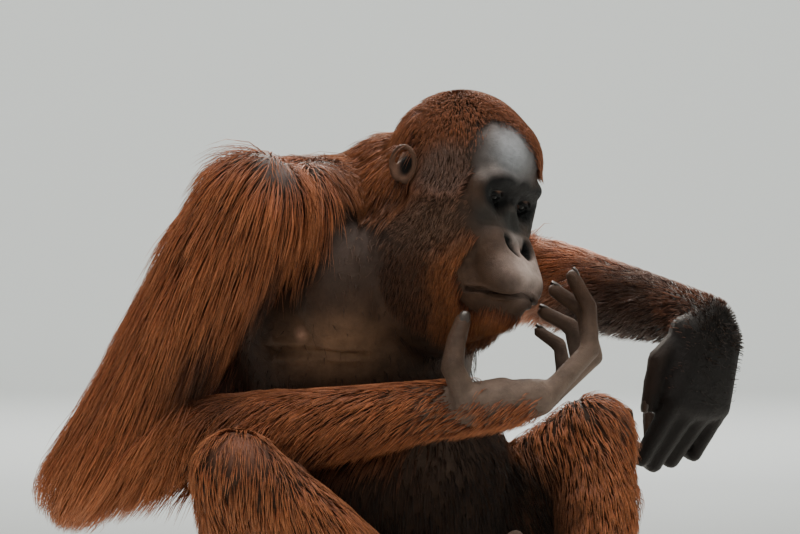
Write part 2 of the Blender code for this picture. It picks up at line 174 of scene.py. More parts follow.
# %% [markdown]
# ## Camera, floor and light
#
# The animal was seen from its right front by a long lens held level with its chest. A long lens flattens
# depth, so the camera stands six metres off and frames less than a metre. A studio sweep, a floor that
# curves up into a wall all round, gives a pale ground with no corner. The light is a big soft box overhead,
# as under a bright sky, one behind that rims the coat, and a weak one in front so that the dark chest keeps
# its form. Two more light the wall and the floor behind the animal.

# %% Camera
VIEW_DISTANCE = 6.0       # from the lens to the plane where the frame's width is measured
VIEW_WIDTH = 0.889        # what the frame spans there
SENSOR = 36.0             # millimetres
camera_data = bpy.data.cameras.new("camera")
camera_data.sensor_width = SENSOR
camera_data.lens = SENSOR * VIEW_DISTANCE / VIEW_WIDTH
camera_data.clip_end = 60.0
camera = in_scene("camera", camera_data)
camera.location = (-4.238, -4.303, 0.481)
camera.rotation_euler = (radians(90), 0, radians(-45))
bpy.context.scene.camera = camera
print("the lens is", round(camera_data.lens), "mm")

# %% Studio sweep
SWEEP_CURVE = 2.5         # radius of the curve from floor to wall
SWEEP_FLOOR = 15.0        # from the animal to where the curve starts, on every side
SWEEP_HEIGHT = 7.0
SWEEP_STEPS = 96          # flats round the whole sweep
profile = [(0.0, 0.0), (5.0, 0.0), (10.0, 0.0), (SWEEP_FLOOR, 0.0)]
for step in range(1, 13):
    angle = radians(90 * step / 12)
    profile.append((SWEEP_FLOOR + SWEEP_CURVE * sin(angle), SWEEP_CURVE * (1 - cos(angle))))
profile.append((SWEEP_FLOOR + SWEEP_CURVE, SWEEP_HEIGHT))
sweep = as_object(lathe(profile, SWEEP_STEPS, 0.001), "sweep")
sweep.data.shade_smooth()
paper, tree, shader = new_material("matt_backdrop_paper")   # rolled paper: pale, no shine
shader.inputs["Base Color"].default_value = (*linear("#e9ebe8"), 1)
shader.inputs["Roughness"].default_value = 0.9
sweep.data.materials.append(paper)
sweep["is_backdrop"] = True
print("the sweep has", len(sweep.data.polygons), "faces")

# %% Lights
def soft_box(name, place, target, size, power, tint="#ffffff"):
    data = bpy.data.lights.new(name, "AREA")
    data.shape = "SQUARE"
    data.size = size
    data.energy = power
    data.color = linear(tint)
    lamp = in_scene(name, data)
    lamp.location = place
    lamp.rotation_euler = (Vector(target) - Vector(place)).to_track_quat("-Z", "Y").to_euler()


CHEST = (0.0, 0.0, 0.35)
soft_box("overhead", (0.1, -0.3, 2.3), CHEST, 1.5, 62, "#fff8ee")
soft_box("rim", (1.2, 1.7, 1.9), CHEST, 1.0, 80, "#fff6ea")
soft_box("fill", (-2.9, -1.2, 1.5), CHEST, 1.6, 12, "#ffffff")
soft_box("backdrop", (6.0, 6.0, 6.5), (12.0, 12.0, 3.0), 4.0, 560, "#ffffff")
soft_box("floor", (4.2, 4.2, 4.5), (5.0, 5.0, 0.0), 3.0, 210, "#ffffff")
world = bpy.data.worlds.new("studio")
world.use_nodes = True
world.node_tree.nodes["Background"].inputs["Color"].default_value = (*linear("#e6ebe6"), 1)
world.node_tree.nodes["Background"].inputs["Strength"].default_value = 0.45
bpy.context.scene.world = world
print("lamps:", [lamp.name for lamp in bpy.data.lights])

# %% [markdown]
# ## The posture
#
# A sculptor starts from an armature. These are its joints, in the places the solids were built on. The
# head has a frame of its own, in hundredths of a metre, so that the face can be worked straight on and
# the whole head then tipped: it looks along -Y there, with the crown to +Z.

# %% Joints of the armature
SIDES = ("right", "left")
HIP = {"right": Vector((-0.085, 0.000, 0.090)), "left": Vector((0.085, 0.000, 0.090))}
KNEE = {"right": Vector((-0.282, -0.100, 0.260)), "left": Vector((0.192, -0.178, 0.291))}
ANKLE = {"right": Vector((-0.106, -0.233, 0.087)), "left": Vector((0.124, -0.251, 0.070))}
SHOULDER = {"right": Vector((-0.206, -0.048, 0.550)), "left": Vector((0.149, 0.028, 0.557))}
ELBOW = {"right": Vector((-0.341, 0.044, 0.281)), "left": Vector((0.421, 0.181, 0.480))}
WRIST = {"right": Vector((-0.060, -0.194, 0.328)), "left": Vector((0.389, -0.176, 0.418))}
HEAD_UNIT = 0.0097
HEAD = (Matrix.Translation((-0.002, -0.146, 0.567)) @ Matrix.Rotation(radians(9.5), 4, "Z")
        @ Matrix.Rotation(radians(15.7), 4, "X") @ Matrix.Rotation(radians(10.9), 4, "Y")
        @ Matrix.Scale(HEAD_UNIT, 4))
REACH = {   # which way the digits run, and which way the palm or sole faces
    "hand_right": (Vector((0.83, -0.55, 0.08)), Vector((0.03, 0.18, 0.96))),
    "hand_left": (Vector((-0.25, 0.00, -0.97)), Vector((0.085, 0.976, 0.0))),
    "foot_right": (Vector((0.36, -0.22, 0.91)), Vector((0.75, -0.50, -0.42))),
    "foot_left": (Vector((0.42, -0.90, 0.0)), Vector((0.0, 0.0, -1.0))),
}
ROOT = {
    "hand_right": WRIST["right"], "hand_left": WRIST["left"],
    "foot_right": Vector((-0.113, -0.224, 0.034)), "foot_left": Vector((0.118, -0.226, 0.034)),
}


def palm_frame(limb):
    """The directions along the digits, across to the thumb's side and out of the palm."""
    along, out = (v.normalized() for v in REACH[limb])
    out = (out - along * out.dot(along)).normalized()
    across = along.cross(out) if limb.endswith("right") else out.cross(along)
    return along, across, out


def between(a, b, share):
    return a.lerp(b, share)


# %% [markdown]
# ## Clay
#
# Flesh has no edges, so it is built like clay: eggs for the masses of muscle, and the tightest skin round
# two or more balls for whatever runs between two joints. A voxel remesh then fuses the overlapping shapes
# into one closed surface, and smoothing melts the creases between them. A subdivision first, or the flat
# facets of the balls would show through the fused skin.

# %% Eggs, hulls and fusing
def egg(clay, centre, semi, frame=Matrix.Identity(4), yaw=0.0):
    """An ellipsoid, turned about Z by some degrees."""
    place = (frame @ Matrix.Translation(Vector(centre)) @ Matrix.Rotation(radians(yaw), 4, "Z")
             @ Matrix.Diagonal((*semi, 1.0)))
    bmesh.ops.create_icosphere(clay, subdivisions=5, radius=1.0, matrix=place)


def hull(clay, *balls, frame=Matrix.Identity(4)):
    """The tightest skin round some balls, each a centre and a radius."""
    shell = bmesh.new()
    for centre, radius in balls:
        ball = bmesh.new()
        bmesh.ops.create_icosphere(ball, subdivisions=3, radius=radius,
                                   matrix=frame @ Matrix.Translation(Vector(centre)))
        for vert in ball.verts:
            shell.verts.new(vert.co)
        ball.free()
    made = bmesh.ops.convex_hull(shell, input=shell.verts[:])
    inside = {e for key in ("geom_interior", "geom_unused") for e in made[key]}
    loose = [v for v in shell.verts if v in inside or not v.link_faces]
    bmesh.ops.delete(shell, geom=loose, context="VERTS")
    bmesh.ops.recalc_face_normals(shell, faces=shell.faces[:])
    mesh = bpy.data.meshes.new("shell")
    shell.to_mesh(mesh)
    shell.free()
    clay.from_mesh(mesh)
    bpy.data.meshes.remove(mesh)


def settle(work):
    """Replaces the mesh by the one its modifiers make."""
    bpy.context.view_layer.update()
    seen = work.evaluated_get(bpy.context.evaluated_depsgraph_get())
    old = work.data
    work.data = bpy.data.meshes.new_from_object(seen)
    bpy.data.meshes.remove(old)
    work.modifiers.clear()


def fuse(work, voxel, smoothing):
    """Melts overlapping closed shapes into one smooth skin."""
    remesh = work.modifiers.new("Fuse", "REMESH")
    remesh.mode = "VOXEL"
    remesh.voxel_size = voxel
    smooth = work.modifiers.new("Smooth", "SMOOTH")
    smooth.factor = 0.5
    smooth.iterations = smoothing
    settle(work)
    return work


# %% [markdown]
# ## Trunk, arms and legs
#
# These are the same masses as in the solids, without the thickness of the coat. The belly of a sitting ape
# folds over its lap, and the chest carries two slack pads of muscle. The limbs are lean: nearly all of
# an orangutan's bulk in the arm is hair.

# %% Body clay
BODY_VOXEL = 0.0048
BARE_ROOM = 0.0012    # bare skin lies this far inside the solids
body = bmesh.new()
egg(body, (0, 0.020, 0.110), (0.150, 0.122, 0.116))
egg(body, (0, -0.030, 0.235), (0.155, 0.140, 0.150))
egg(body, (0, 0.045, 0.270), (0.150, 0.110, 0.200))
egg(body, (0, 0.010, 0.410), (0.165, 0.125, 0.170), yaw=12)
egg(body, (0, 0.062, 0.418), (0.152, 0.098, 0.165), yaw=12)
egg(body, (-0.078, -0.070, 0.450), (0.080, 0.052, 0.085), yaw=12)
egg(body, (0.070, -0.050, 0.450), (0.080, 0.052, 0.085), yaw=12)
hull(body, ((-0.140, -0.034, 0.540), 0.058), ((0.0, 0.040, 0.540), 0.060), ((0.110, 0.020, 0.545), 0.058))
hull(body, ((0.000, 0.030, 0.520), 0.080), ((-0.004, -0.090, 0.545), 0.070))
hull(body, ((0.000, 0.045, 0.535), 0.052), ((0.000, -0.060, 0.572), 0.056))
egg(body, (0.000, -0.120, 0.478), (0.100, 0.083, 0.096))
egg(body, (-0.128, 0.055, 0.335), (0.042, 0.045, 0.070))
for side in SIDES:
    shoulder, elbow, wrist = SHOULDER[side], ELBOW[side], WRIST[side]
    hull(body, (shoulder, 0.056), (between(shoulder, elbow, 0.20), 0.060))
    hull(body, (between(shoulder, elbow, 0.15), 0.058), (between(shoulder, elbow, 0.55), 0.050))
    hull(body, (between(shoulder, elbow, 0.50), 0.048), (elbow, 0.042))
    hull(body, (elbow, 0.042), (between(elbow, wrist, 0.35), 0.043))
    hull(body, (between(elbow, wrist, 0.30), 0.043), (wrist, 0.028))
    hip, knee, ankle = HIP[side], KNEE[side], ANKLE[side]
    hull(body, (hip, 0.080), (between(hip, knee, 0.45), 0.070))
    hull(body, (between(hip, knee, 0.40), 0.070), (knee, 0.046))
    hull(body, (knee, 0.044), (between(knee, ankle, 0.40), 0.044))
    hull(body, (between(knee, ankle, 0.35), 0.044), (ankle, 0.031))
    hull(body, (ankle, 0.029), (ROOT["foot_" + side], 0.030))
flesh = [fuse(as_object(body, "body"), BODY_VOXEL, 10)]
print("body:", len(flesh[0].data.vertices), "points")

# %% [markdown]
# ## Hands and feet
#
# An ape's hand is a hook: long curved fingers on a narrow palm, with a small thumb set far back. Each digit
# is a chain of tapering lengths with a slightly thicker knuckle at each joint. They are fused apart from
# the body on a fine grid, because a coarse one would web the fingers together.

# %% Digits
DIGIT_VOXEL = 0.0019
FINGERS = {   # place across the palm, distance from the wrist, lengths, thickness
    "index": (0.034, 0.108, (0.069, 0.048, 0.037), 0.0134),
    "middle": (0.012, 0.112, (0.069, 0.052, 0.038), 0.0136),
    "ring": (-0.012, 0.109, (0.062, 0.042, 0.034), 0.0130),
    "little": (-0.036, 0.102, (0.052, 0.034, 0.027), 0.0116),
}
FINGER_BENDS = {
    "hand_right": {"index": (41, 44, 27), "middle": (36, 59, 45),
                   "ring": (37, 60, 51), "little": (34, 59, 48)},
    "hand_left": {"index": (30, 80, 45), "middle": (34, 82, 45),
                  "ring": (36, 80, 45), "little": (30, 78, 45)},
}
THUMB_START = (0.031, 0.020)
THUMB_LENGTHS = (0.046, 0.028, 0.026)
THUMB_THICK = 0.0155
THUMB_WAYS = {   # each length's direction along the palm, across it and out of it
    "hand_right": ((-0.39, 0.45, 0.81), (0.26, -0.05, 0.94), (0.43, -0.21, 0.87)),
    "hand_left": ((0.80, 0.55, 0.20), (0.98, -0.02, 0.15), (0.97, -0.15, 0.20)),
}
TOES = {
    "toe_two": (0.030, 0.142, (0.040, 0.030, 0.022), 0.0115),
    "toe_three": (0.010, 0.146, (0.042, 0.031, 0.023), 0.0118),
    "toe_four": (-0.011, 0.142, (0.040, 0.030, 0.022), 0.0115),
    "toe_five": (-0.031, 0.134, (0.036, 0.027, 0.020), 0.0108),
}
TOE_BENDS = {"foot_right": (34, 78, 46), "foot_left": (-18, 62, 46)}
BIG_TOE_START = (0.030, 0.055)
BIG_TOE_LENGTHS = (0.034, 0.026)
BIG_TOE_THICK = 0.0135
BIG_TOE_WAYS = {"foot_right": ((0.45, 0.70, 0.55), (0.75, 0.25, 0.60)),
                "foot_left": ((0.45, 0.85, 0.05), (0.85, 0.50, 0.10))}
PALM_PAD = 0.007          # flesh of the palm over the roots of the fingers
TAPER = 0.87              # each joint's width as a share of the one before
KNUCKLE = 1.05            # and a knuckle's width as a share of its joint's
nails = []                # tip, direction, up and width of each, for the nails
knuckles = []             # joint, its width, the digit's direction and its back


def digit(clay, start, directions, lengths, thick, backs):
    """One finger or toe, which also notes where its knuckles and its nail go."""
    spot = start
    wide = thick - BARE_ROOM
    for direction, length, back in zip(directions, lengths, backs):
        end = spot + direction * length
        narrow = wide * TAPER
        hull(clay, (spot, wide), (end, narrow))
        hull(clay, (spot, wide * KNUCKLE), (spot + direction * 0.004, wide * KNUCKLE))
        knuckles.append((spot, wide, direction, back))
        spot, wide = end, narrow
    nails.append((spot, directions[-1], backs[-1], wide))


def add_digits(clay, limb, table, bends):
    along, across, out = palm_frame(limb)
    for name, (place, distance, lengths, thick) in table.items():
        start = ROOT[limb] + along * distance + across * place
        angle = 0.0
        directions, backs = [], []
        for bend in bends[name] if isinstance(bends, dict) else bends:
            angle += radians(bend)
            directions.append(along * cos(angle) + out * sin(angle))
            backs.append(along * sin(angle) - out * cos(angle))
        digit(clay, start, directions, lengths, thick, backs)


def add_thumb(clay, limb, start, ways, lengths, thick):
    along, across, out = palm_frame(limb)
    root = ROOT[limb] + across * start[0] + along * start[1]
    directions = [(along * a + across * b + out * c).normalized() for a, b, c in ways]
    backs = [(across - d * across.dot(d)).normalized() for d in directions]
    digit(clay, root, directions, lengths, thick, backs)


def rest_on_floor(bm, level):
    """Planes off what reaches below a level, as weight flattens a heel or a seat."""
    bmesh.ops.bisect_plane(bm, geom=bm.verts[:] + bm.edges[:] + bm.faces[:], dist=0.00001,
                           plane_co=(0, 0, level), plane_no=(0, 0, -1), clear_outer=True)
    rim = [e for e in bm.edges if e.is_boundary]
    if rim:
        bmesh.ops.holes_fill(bm, edges=rim, sides=0)


# %% Hand and foot clay
for side in SIDES:
    hand = bmesh.new()
    limb = "hand_" + side
    along, across, out = palm_frame(limb)
    wrist = WRIST[side]
    row = []
    for place, distance, _, thick in FINGERS.values():
        row.append((wrist + along * (distance - 0.010) + across * place * 0.92, thick + PALM_PAD - BARE_ROOM))
    heel = wrist + along * 0.022 - out * 0.002
    hull(hand, (wrist, 0.0278), (heel + across * 0.022, 0.0248), (heel - across * 0.022, 0.0238), *row)
    thumb_root = wrist + along * THUMB_START[1] + across * THUMB_START[0]
    hull(hand, (thumb_root, 0.0208), (wrist + along * 0.060 + across * 0.020 + out * 0.004, 0.0218))
    hull(hand, (between(ELBOW[side], wrist, 0.80), 0.030), (wrist, 0.0255))
    add_digits(hand, limb, FINGERS, FINGER_BENDS[limb])
    add_thumb(hand, limb, THUMB_START, THUMB_WAYS[limb], THUMB_LENGTHS, THUMB_THICK)
    flesh.append(fuse(as_object(hand, limb), DIGIT_VOXEL, 5))
    foot = bmesh.new()
    limb = "foot_" + side
    along, across, out = palm_frame(limb)
    heel = ROOT[limb]
    ball = heel + along * 0.128
    hull(foot, (heel, 0.033), (heel + along * 0.050 - out * 0.010, 0.031),
         (ball + across * 0.024, 0.018), (ball - across * 0.024, 0.017))
    hull(foot, (heel + across * BIG_TOE_START[0] + along * BIG_TOE_START[1], 0.016),
         (heel + along * 0.05, 0.023))
    hull(foot, (ANKLE[side], 0.029), (heel, 0.033))
    add_digits(foot, limb, TOES, TOE_BENDS[limb])
    add_thumb(foot, limb, BIG_TOE_START, BIG_TOE_WAYS[limb], BIG_TOE_LENGTHS, BIG_TOE_THICK)
    flesh.append(fuse(as_object(foot, limb), DIGIT_VOXEL, 5))
print("hands and feet:", [len(part.data.vertices) for part in flesh[1:]], "points")

# %% [markdown]
# ## Head and ears
#
# The head is a high round skull with a dished face: a low brow, deep sockets close together, hardly any nose
# and a long upper lip that swells like a cushion. Its masses are laid in the head's own frame. The ears
# are small and set high, and each is a rolled rim round a cup.

# %% Head clay
HEAD_VOXEL = 0.0026
EAR_VOXEL = 0.0014
head = bmesh.new()
egg(head, (0, -0.3, 3.9), (7.0, 8.0, 7.1), HEAD)
egg(head, (0, -1.0, 1.0), (6.8, 7.3, 5.1), HEAD)
egg(head, (0, -3.4, 4.2), (6.2, 5.9, 5.6), HEAD)
hull(head, *pair((3.8, -7.7, 2.5), 1.5), ((0, -8.0, 3.2), 1.5), frame=HEAD)
hull(head, ((0, -7.3, 1.6), 1.1), ((0, -8.3, -2.2), 1.3),
     ((1.25, -8.9, -3.6), 1.2), ((-1.25, -8.9, -3.6), 1.2), frame=HEAD)
hull(head, *pair((3.5, -8.0, -2.4), 1.6), ((0, -8.0, -3.4), 1.8), frame=HEAD)
hull(head, *pair((2.9, -8.6, -4.3), 2.3), *pair((1.9, -11.7, -7.9), 2.8), frame=HEAD)
hull(head, *pair((2.4, -6.8, -8.4), 3.2), *pair((1.5, -10.9, -10.2), 2.5), frame=HEAD)
for side in (-1, 1):
    hull(head, ((side * 5.1, -6.9, 1.3), 1.4), ((side * 5.0, -7.1, -0.9), 1.4),
         ((side * 3.7, -7.9, -2.2), 1.6), frame=HEAD)
    hull(head, ((side * 4.9, -5.6, -0.9), 1.6), ((side * 5.6, -1.2, -1.0), 1.7),
         ((side * 4.6, -1.6, -5.6), 2.3), ((side * 2.8, -7.6, -6.0), 2.5), frame=HEAD)
hull(head, ((-4.5, -1.4, -5.5), 2.4), ((0, -9.8, -10.8), 2.7), ((4.5, -1.4, -5.5), 2.4), frame=HEAD)
hull(head, *pair((4.2, -3.6, -8.4), 2.4), ((0, -2.6, -11.8), 2.9), ((0, -8.0, -12.4), 2.4), frame=HEAD)
flesh.append(fuse(as_object(head, "head_clay"), HEAD_VOXEL, 12))
for side in (-1, 1):
    ear = bmesh.new()
    rim = []
    for step in range(13):
        angle = radians(-70 + 24 * step)
        flare = 8.05 + 0.5 * sin(angle) + 0.3 * cos(angle)
        rim.append((side * flare, 1.8 + 1.4 * cos(angle), 0.8 + 1.95 * sin(angle)))
    for start, end in zip(rim, rim[1:]):
        hull(ear, (start, 0.36), (end, 0.36), frame=HEAD)
    egg(ear, (side * 7.15, 1.85, 0.75), (0.36, 1.50, 2.00), HEAD)
    hull(ear, ((side * 7.4, 1.0, -0.9), 0.42), ((side * 7.7, 1.5, -1.0), 0.36), frame=HEAD)
    hull(ear, ((side * 7.5, 2.0, 1.4), 0.3), ((side * 7.7, 2.5, 0.6), 0.28),
         ((side * 7.6, 2.1, -0.4), 0.3), frame=HEAD)
    flesh.append(fuse(as_object(ear, "ear"), EAR_VOXEL, 2))
print("head and ears:", [len(part.data.vertices) for part in flesh[-3:]], "points")

# %% [markdown]
# ## One skin
#
# All the parts are joined and fused once more, so that the skin runs unbroken from the brow to the toes. It
# is then thinned where hair will hide it, left dense on the face, ears, chest and right hand, and thinned to a
# fixed count on the left hand and the feet, and the face is cut finer again, because eyelids and nostrils need
# points about a millimetre apart.

# %% Join, fuse and thin the skin
SKIN_VOXEL = 0.0023
HIDDEN_FACES = 12500      # triangles left under the fur
LIMB_FACES = 12500        # and on the left hand and the feet
FACE_ZONE = ((0, -9.6, -3.6), (7.8, 7.4, 12.0))     # kept dense: place and size, in the head's frame
EAR_ZONE = ((7.7, 1.9, 0.8), (2.0, 2.6, 3.0))
CHEST_ZONE = ((-0.07, -0.10, 0.395), (0.13, 0.10, 0.065))    # in the body's frame
LIMB_WIDE = 0.058         # a hand or foot is nowhere further from its middle line
joined = bmesh.new()
for part in flesh:
    joined.from_mesh(part.data)
    bpy.data.objects.remove(part)
skin = fuse(as_object(joined, "skin"), SKIN_VOXEL, 4)
head_inverse = HEAD.inverted()


def points_of(mesh):
    flat = np.empty(len(mesh.vertices) * 3, np.float32)
    mesh.vertices.foreach_get("co", flat)
    return flat.reshape(-1, 3).astype(float)


def normals_of(mesh):
    flat = np.empty(len(mesh.vertices) * 3, np.float32)
    mesh.vertex_normals.foreach_get("vector", flat)
    return flat.reshape(-1, 3).astype(float)


def put_points(mesh, points):
    mesh.vertices.foreach_set("co", points.astype(np.float32).ravel())
    mesh.update()


def in_head(points):
    """The same points in the head's own frame."""
    turned = np.array(head_inverse)
    return points @ turned[:3, :3].T + turned[:3, 3]


def unit(rows):
    return rows / np.maximum(np.linalg.norm(rows, axis=-1, keepdims=True), 1e-9)


def along_each(rows, others):
    """How far each row reaches along its own other row."""
    return np.einsum("ij,ij->i", rows, others)


def rise(value, start, width):
    """Nothing up to a start, then rising to one over a width."""
    return np.clip((value - start) / width, 0, 1)


def fall(value, end, width):
    """The other way: one at first, and nothing from the end on."""
    return np.clip((end - value) / width, 0, 1)


def apart(points, spot):
    """How far each point is from a spot."""
    return np.linalg.norm(points - np.array(spot), axis=1)


def fade(distance, radius):
    """One at the middle, falling smoothly to nothing at the radius."""
    near = np.clip(1.0 - distance / radius, 0.0, 1.0)
    return near * near * (3.0 - 2.0 * near)


def blob(points, centre, semi):
    """One in the middle of an egg-shaped patch, fading to nothing at its edge."""
    return fade(np.linalg.norm((points - np.array(centre)) / np.array(semi), axis=1), 1.0)


def from_line(points, start, end):
    """Distance from a straight length, and how far along it the nearest place is."""
    start, end = np.array(start), np.array(end)
    way = end - start
    share = np.clip((points - start) @ way / (way @ way), 0.0, 1.0)
    return np.linalg.norm(points - start - share[:, None] * way, axis=1), share


def near_limb(points, *limbs):
    """Whether points lie on some of the hands and feet."""
    near = np.zeros(len(points), bool)
    for limb in limbs:
        along, _, _ = palm_frame(limb)
        near |= from_line(points, ROOT[limb] + along * 0.01, ROOT[limb] + along * 0.17)[0] < LIMB_WIDE
    return near


def thin(work, chosen, faces):
    """Leaves about this many triangles where points are chosen, and all elsewhere. Returns the old number."""
    group = work.vertex_groups.new(name="chosen")
    for index in np.flatnonzero(chosen):
        group.add([int(index)], 1.0, "REPLACE")
    work.data.calc_loop_triangles()
    total = len(work.data.loop_triangles)
    part = total * chosen.mean()
    less = work.modifiers.new("Thin", "DECIMATE")
    less.ratio = min(1.0, (total - part + faces) / total)
    less.use_collapse_triangulate = True
    less.vertex_group = "chosen"
    less.vertex_group_factor = 1.0
    settle(work)
    work.vertex_groups.clear()
    return total


points = points_of(skin.data)
local = in_head(points)
kept = (blob(local, *FACE_ZONE) > 0.03) | (blob(points, *CHEST_ZONE) > 0) | near_limb(points, *REACH)
for zone in pair(*EAR_ZONE):
    kept |= blob(local, *zone) > 0
total = thin(skin, ~kept, HIDDEN_FACES)
points = points_of(skin.data)
thin(skin, near_limb(points, "hand_left", "foot_right", "foot_left"), LIMB_FACES)
print("skin:", total, "triangles fused, thinned to", len(skin.data.polygons))

# %% Cut the face finer
FINE_SPOTS = (   # places in the head's frame and their sizes, coarse to fine
    (((0, -9.9, -3.8), (6.4, 6.3, 8.8)),),
    (*pair((2.95, -8.4, 0.7), (2.4, 2.2, 2.1)),
     ((0, -10.6, -3.6), (2.9, 2.1, 1.9)), ((0, -13.0, -8.8), (5.0, 5.0, 1.5))),
)
for spots in FINE_SPOTS:
    bm = bmesh.new()
    bm.from_mesh(skin.data)
    local = in_head(points_of(skin.data))
    fine = np.zeros(len(local), bool)
    for centre, semi in spots:
        fine |= blob(local, centre, semi) > 0
    bm.verts.ensure_lookup_table()
    chosen = [e for e in bm.edges if fine[e.verts[0].index] and fine[e.verts[1].index]]
    bmesh.ops.subdivide_edges(bm, edges=chosen, cuts=1, use_grid_fill=True)
    bmesh.ops.triangulate(bm, faces=[f for f in bm.faces if len(f.verts) > 3])
    bm.to_mesh(skin.data)
    bm.free()
skin.data.update()
print("with the face cut finer:", len(skin.data.polygons), "triangles")

# %% [markdown]
# ## Sculpting the face
#
# Four moves do the whole face: push a spot, swell it, cut a groove along a path, and wrap the skin round the
# eyeball. Each is written once and moves all points at a time. The nostrils are two deep short grooves, and
# how far a point lies in them is kept for the painted shade inside them. The lids are found by angle: seen from
# the middle of the eye, the opening is an almond, and the skin keeps a lid's thickness off the eyeball outside it
# and sinks behind the eye's surface within it.

# %% Sculpting moves
def path_distance(points, path):
    """Distance from a path of straight lengths."""
    best = np.full(len(points), 1e9)
    for start, end in zip(path, path[1:]):
        best = np.minimum(best, from_line(points, start, end)[0])
    return best


def furrow(distance, lips):
    """A groove's height at some distances from its path, in widths: a furrow between slight swellings."""
    shape = -np.exp(-distance * distance) + lips * np.exp(-(distance - 2.0) ** 2)
    return np.where(distance < 5, shape, 0.0)


def mirrored(path):
    return [(-x, y, z) for x, y, z in path]


def curve_through(path, count=12):
    """Points on a smooth curve through a few given ones."""
    path = np.array(path, float)
    ends = np.vstack([2 * path[0] - path[1], path, 2 * path[-1] - path[-2]])
    result = []
    for i in range(1, len(ends) - 2):
        a, b, c, d = ends[i - 1:i + 3]
        for t in np.linspace(0, 1, count, endpoint=i == len(ends) - 3):
            result.append(0.5 * (2 * b + (c - a) * t + (2 * a - 5 * b + 4 * c - d) * t ** 2
                                 + (3 * b - a - 3 * c + d) * t ** 3))
    return result


class Face:
    """The skin's points near the head, in the head's frame, while they are worked."""

    def __init__(self, mesh):
        self.mesh = mesh
        self.all = points_of(mesh)
        flat = np.empty(len(mesh.edges) * 2, np.int32)
        mesh.edges.foreach_get("vertices", flat)
        self.edges = flat.reshape(-1, 2)
        local = in_head(self.all)
        self.near = np.flatnonzero(apart(local, (0, -3, -1)) < 17)
        self.co = local[self.near]
        self.read_normals()

    def read_normals(self):
        turn = np.array(HEAD.to_quaternion().to_matrix())
        self.no = normals_of(self.mesh)[self.near] @ turn

    def push(self, centre, semi, move):
        self.co += blob(self.co, centre, semi)[:, None] * np.array(move)

    def swell(self, centre, semi, height):
        self.co += self.no * (blob(self.co, centre, semi) * height)[:, None]

    def on_skin(self, path):
        """The path laid on the skin: each point goes to the nearest one there, and kinks are evened out."""
        laid = np.array([self.co[np.argmin(((self.co - spot) ** 2).sum(1))] for spot in np.array(path)])
        for _ in range(3):
            laid[1:-1] = (laid[:-2] + laid[1:-1] * 2 + laid[2:]) / 4
        return laid

    def groove(self, path, width, depth, lips=0.3):
        """A furrow along a path, with a slight swelling on both sides."""
        away = path_distance(self.co, self.on_skin(path)) / width
        self.co += self.no * (furrow(away, lips) * depth)[:, None]

    def relax(self, weight, rounds):
        """Evens out the places where a push has left the points uneven."""
        place = np.full(len(self.all), -1)
        place[self.near] = np.arange(len(self.near))
        pairs = place[self.edges]
        pairs = pairs[(pairs >= 0).all(1)]
        number = np.bincount(pairs.ravel(), minlength=len(self.near))[:, None]
        for _ in range(rounds):
            total = np.zeros_like(self.co)
            for a, b in ((0, 1), (1, 0)):
                for axis in range(3):
                    total[:, axis] += np.bincount(pairs[:, a], self.co[pairs[:, b], axis], len(self.near))
            mean = total / np.maximum(number, 1)
            self.co += (mean - self.co) * (0.5 * weight)[:, None]

    def store(self):
        turned = np.array(HEAD)
        self.all[self.near] = self.co @ turned[:3, :3].T + turned[:3, 3]
        put_points(self.mesh, self.all)
        self.read_normals()


# %% Brow, nose and lips
face = Face(skin.data)
EYE_RADIUS = 1.12
EYES = {"right": Vector((-2.95, -6.95, 0.85)), "left": Vector((2.95, -6.95, 0.85))}
for side in (-1, 1):
    face.swell((side * 3.2, -9.0, 3.0), (2.8, 2.2, 1.0), 0.16)                  # brow
    face.swell((side * 3.3, -9.0, -1.6), (2.2, 2.0, 0.8), 0.16)                 # bag under the eye
    face.push((side * 6.0, -5.6, 3.4), (1.6, 2.6, 3.4), (-side * 0.3, 0.2, 0))   # temple
    face.swell((side * 1.85, -10.2, -3.6), (1.1, 1.4, 1.0), 0.34)               # nostril wing
face.push((0, -9.6, -1.0), (1.4, 2.2, 2.2), (0, 0.35, 0))                       # dish of the nose
face.push((0, -11.4, -4.3), (3.6, 2.6, 1.5), (0, 0.8, 0))                       # step under the nose
face.swell((0, -10.9, -4.0), (0.5, 1.2, 1.0), 0.20)                             # septum
face.swell((0, -13.9, -7.0), (3.6, 2.4, 1.6), 0.18)                             # upper lip's roll
face.store()
NOSTRIL = [(2.00, -10.7, -3.50), (2.10, -10.9, -4.00), (1.85, -11.2, -4.45), (1.15, -11.5, -4.70)]
NOSTRIL_WIDE = 0.60
NOSTRIL_DEEP = 1.00
hollow = np.zeros(len(face.all))
for way in (NOSTRIL, mirrored(NOSTRIL)):
    away = path_distance(face.co, face.on_skin(curve_through(way))) / NOSTRIL_WIDE
    hollow[face.near] = np.maximum(hollow[face.near], fall(away, 1.75, 0.75))
    face.groove(curve_through(way), NOSTRIL_WIDE, NOSTRIL_DEEP, lips=0.10)
mark = skin.data.attributes.new("Hollow", "FLOAT", "POINT")
mark.data.foreach_set("value", hollow.astype(np.float32))
face.store()
MOUTH = [(0, -14.75, -8.75), (1.4, -14.4, -8.85), (2.8, -13.1, -9.15), (3.9, -11.2, -9.6), (4.5, -9.4, -10.1)]
mouth = curve_through(mirrored(MOUTH)[:0:-1] + MOUTH)
face.groove(mouth, 0.22, 0.62, lips=0.30)
face.store()
face.groove(mouth, 0.12, 0.35, lips=0.0)
face.store()
mouth_length = sum(np.linalg.norm(b - a) for a, b in zip(mouth, mouth[1:]))
print("the mouth is", round(HEAD_UNIT * 1000 * mouth_length), "mm long")

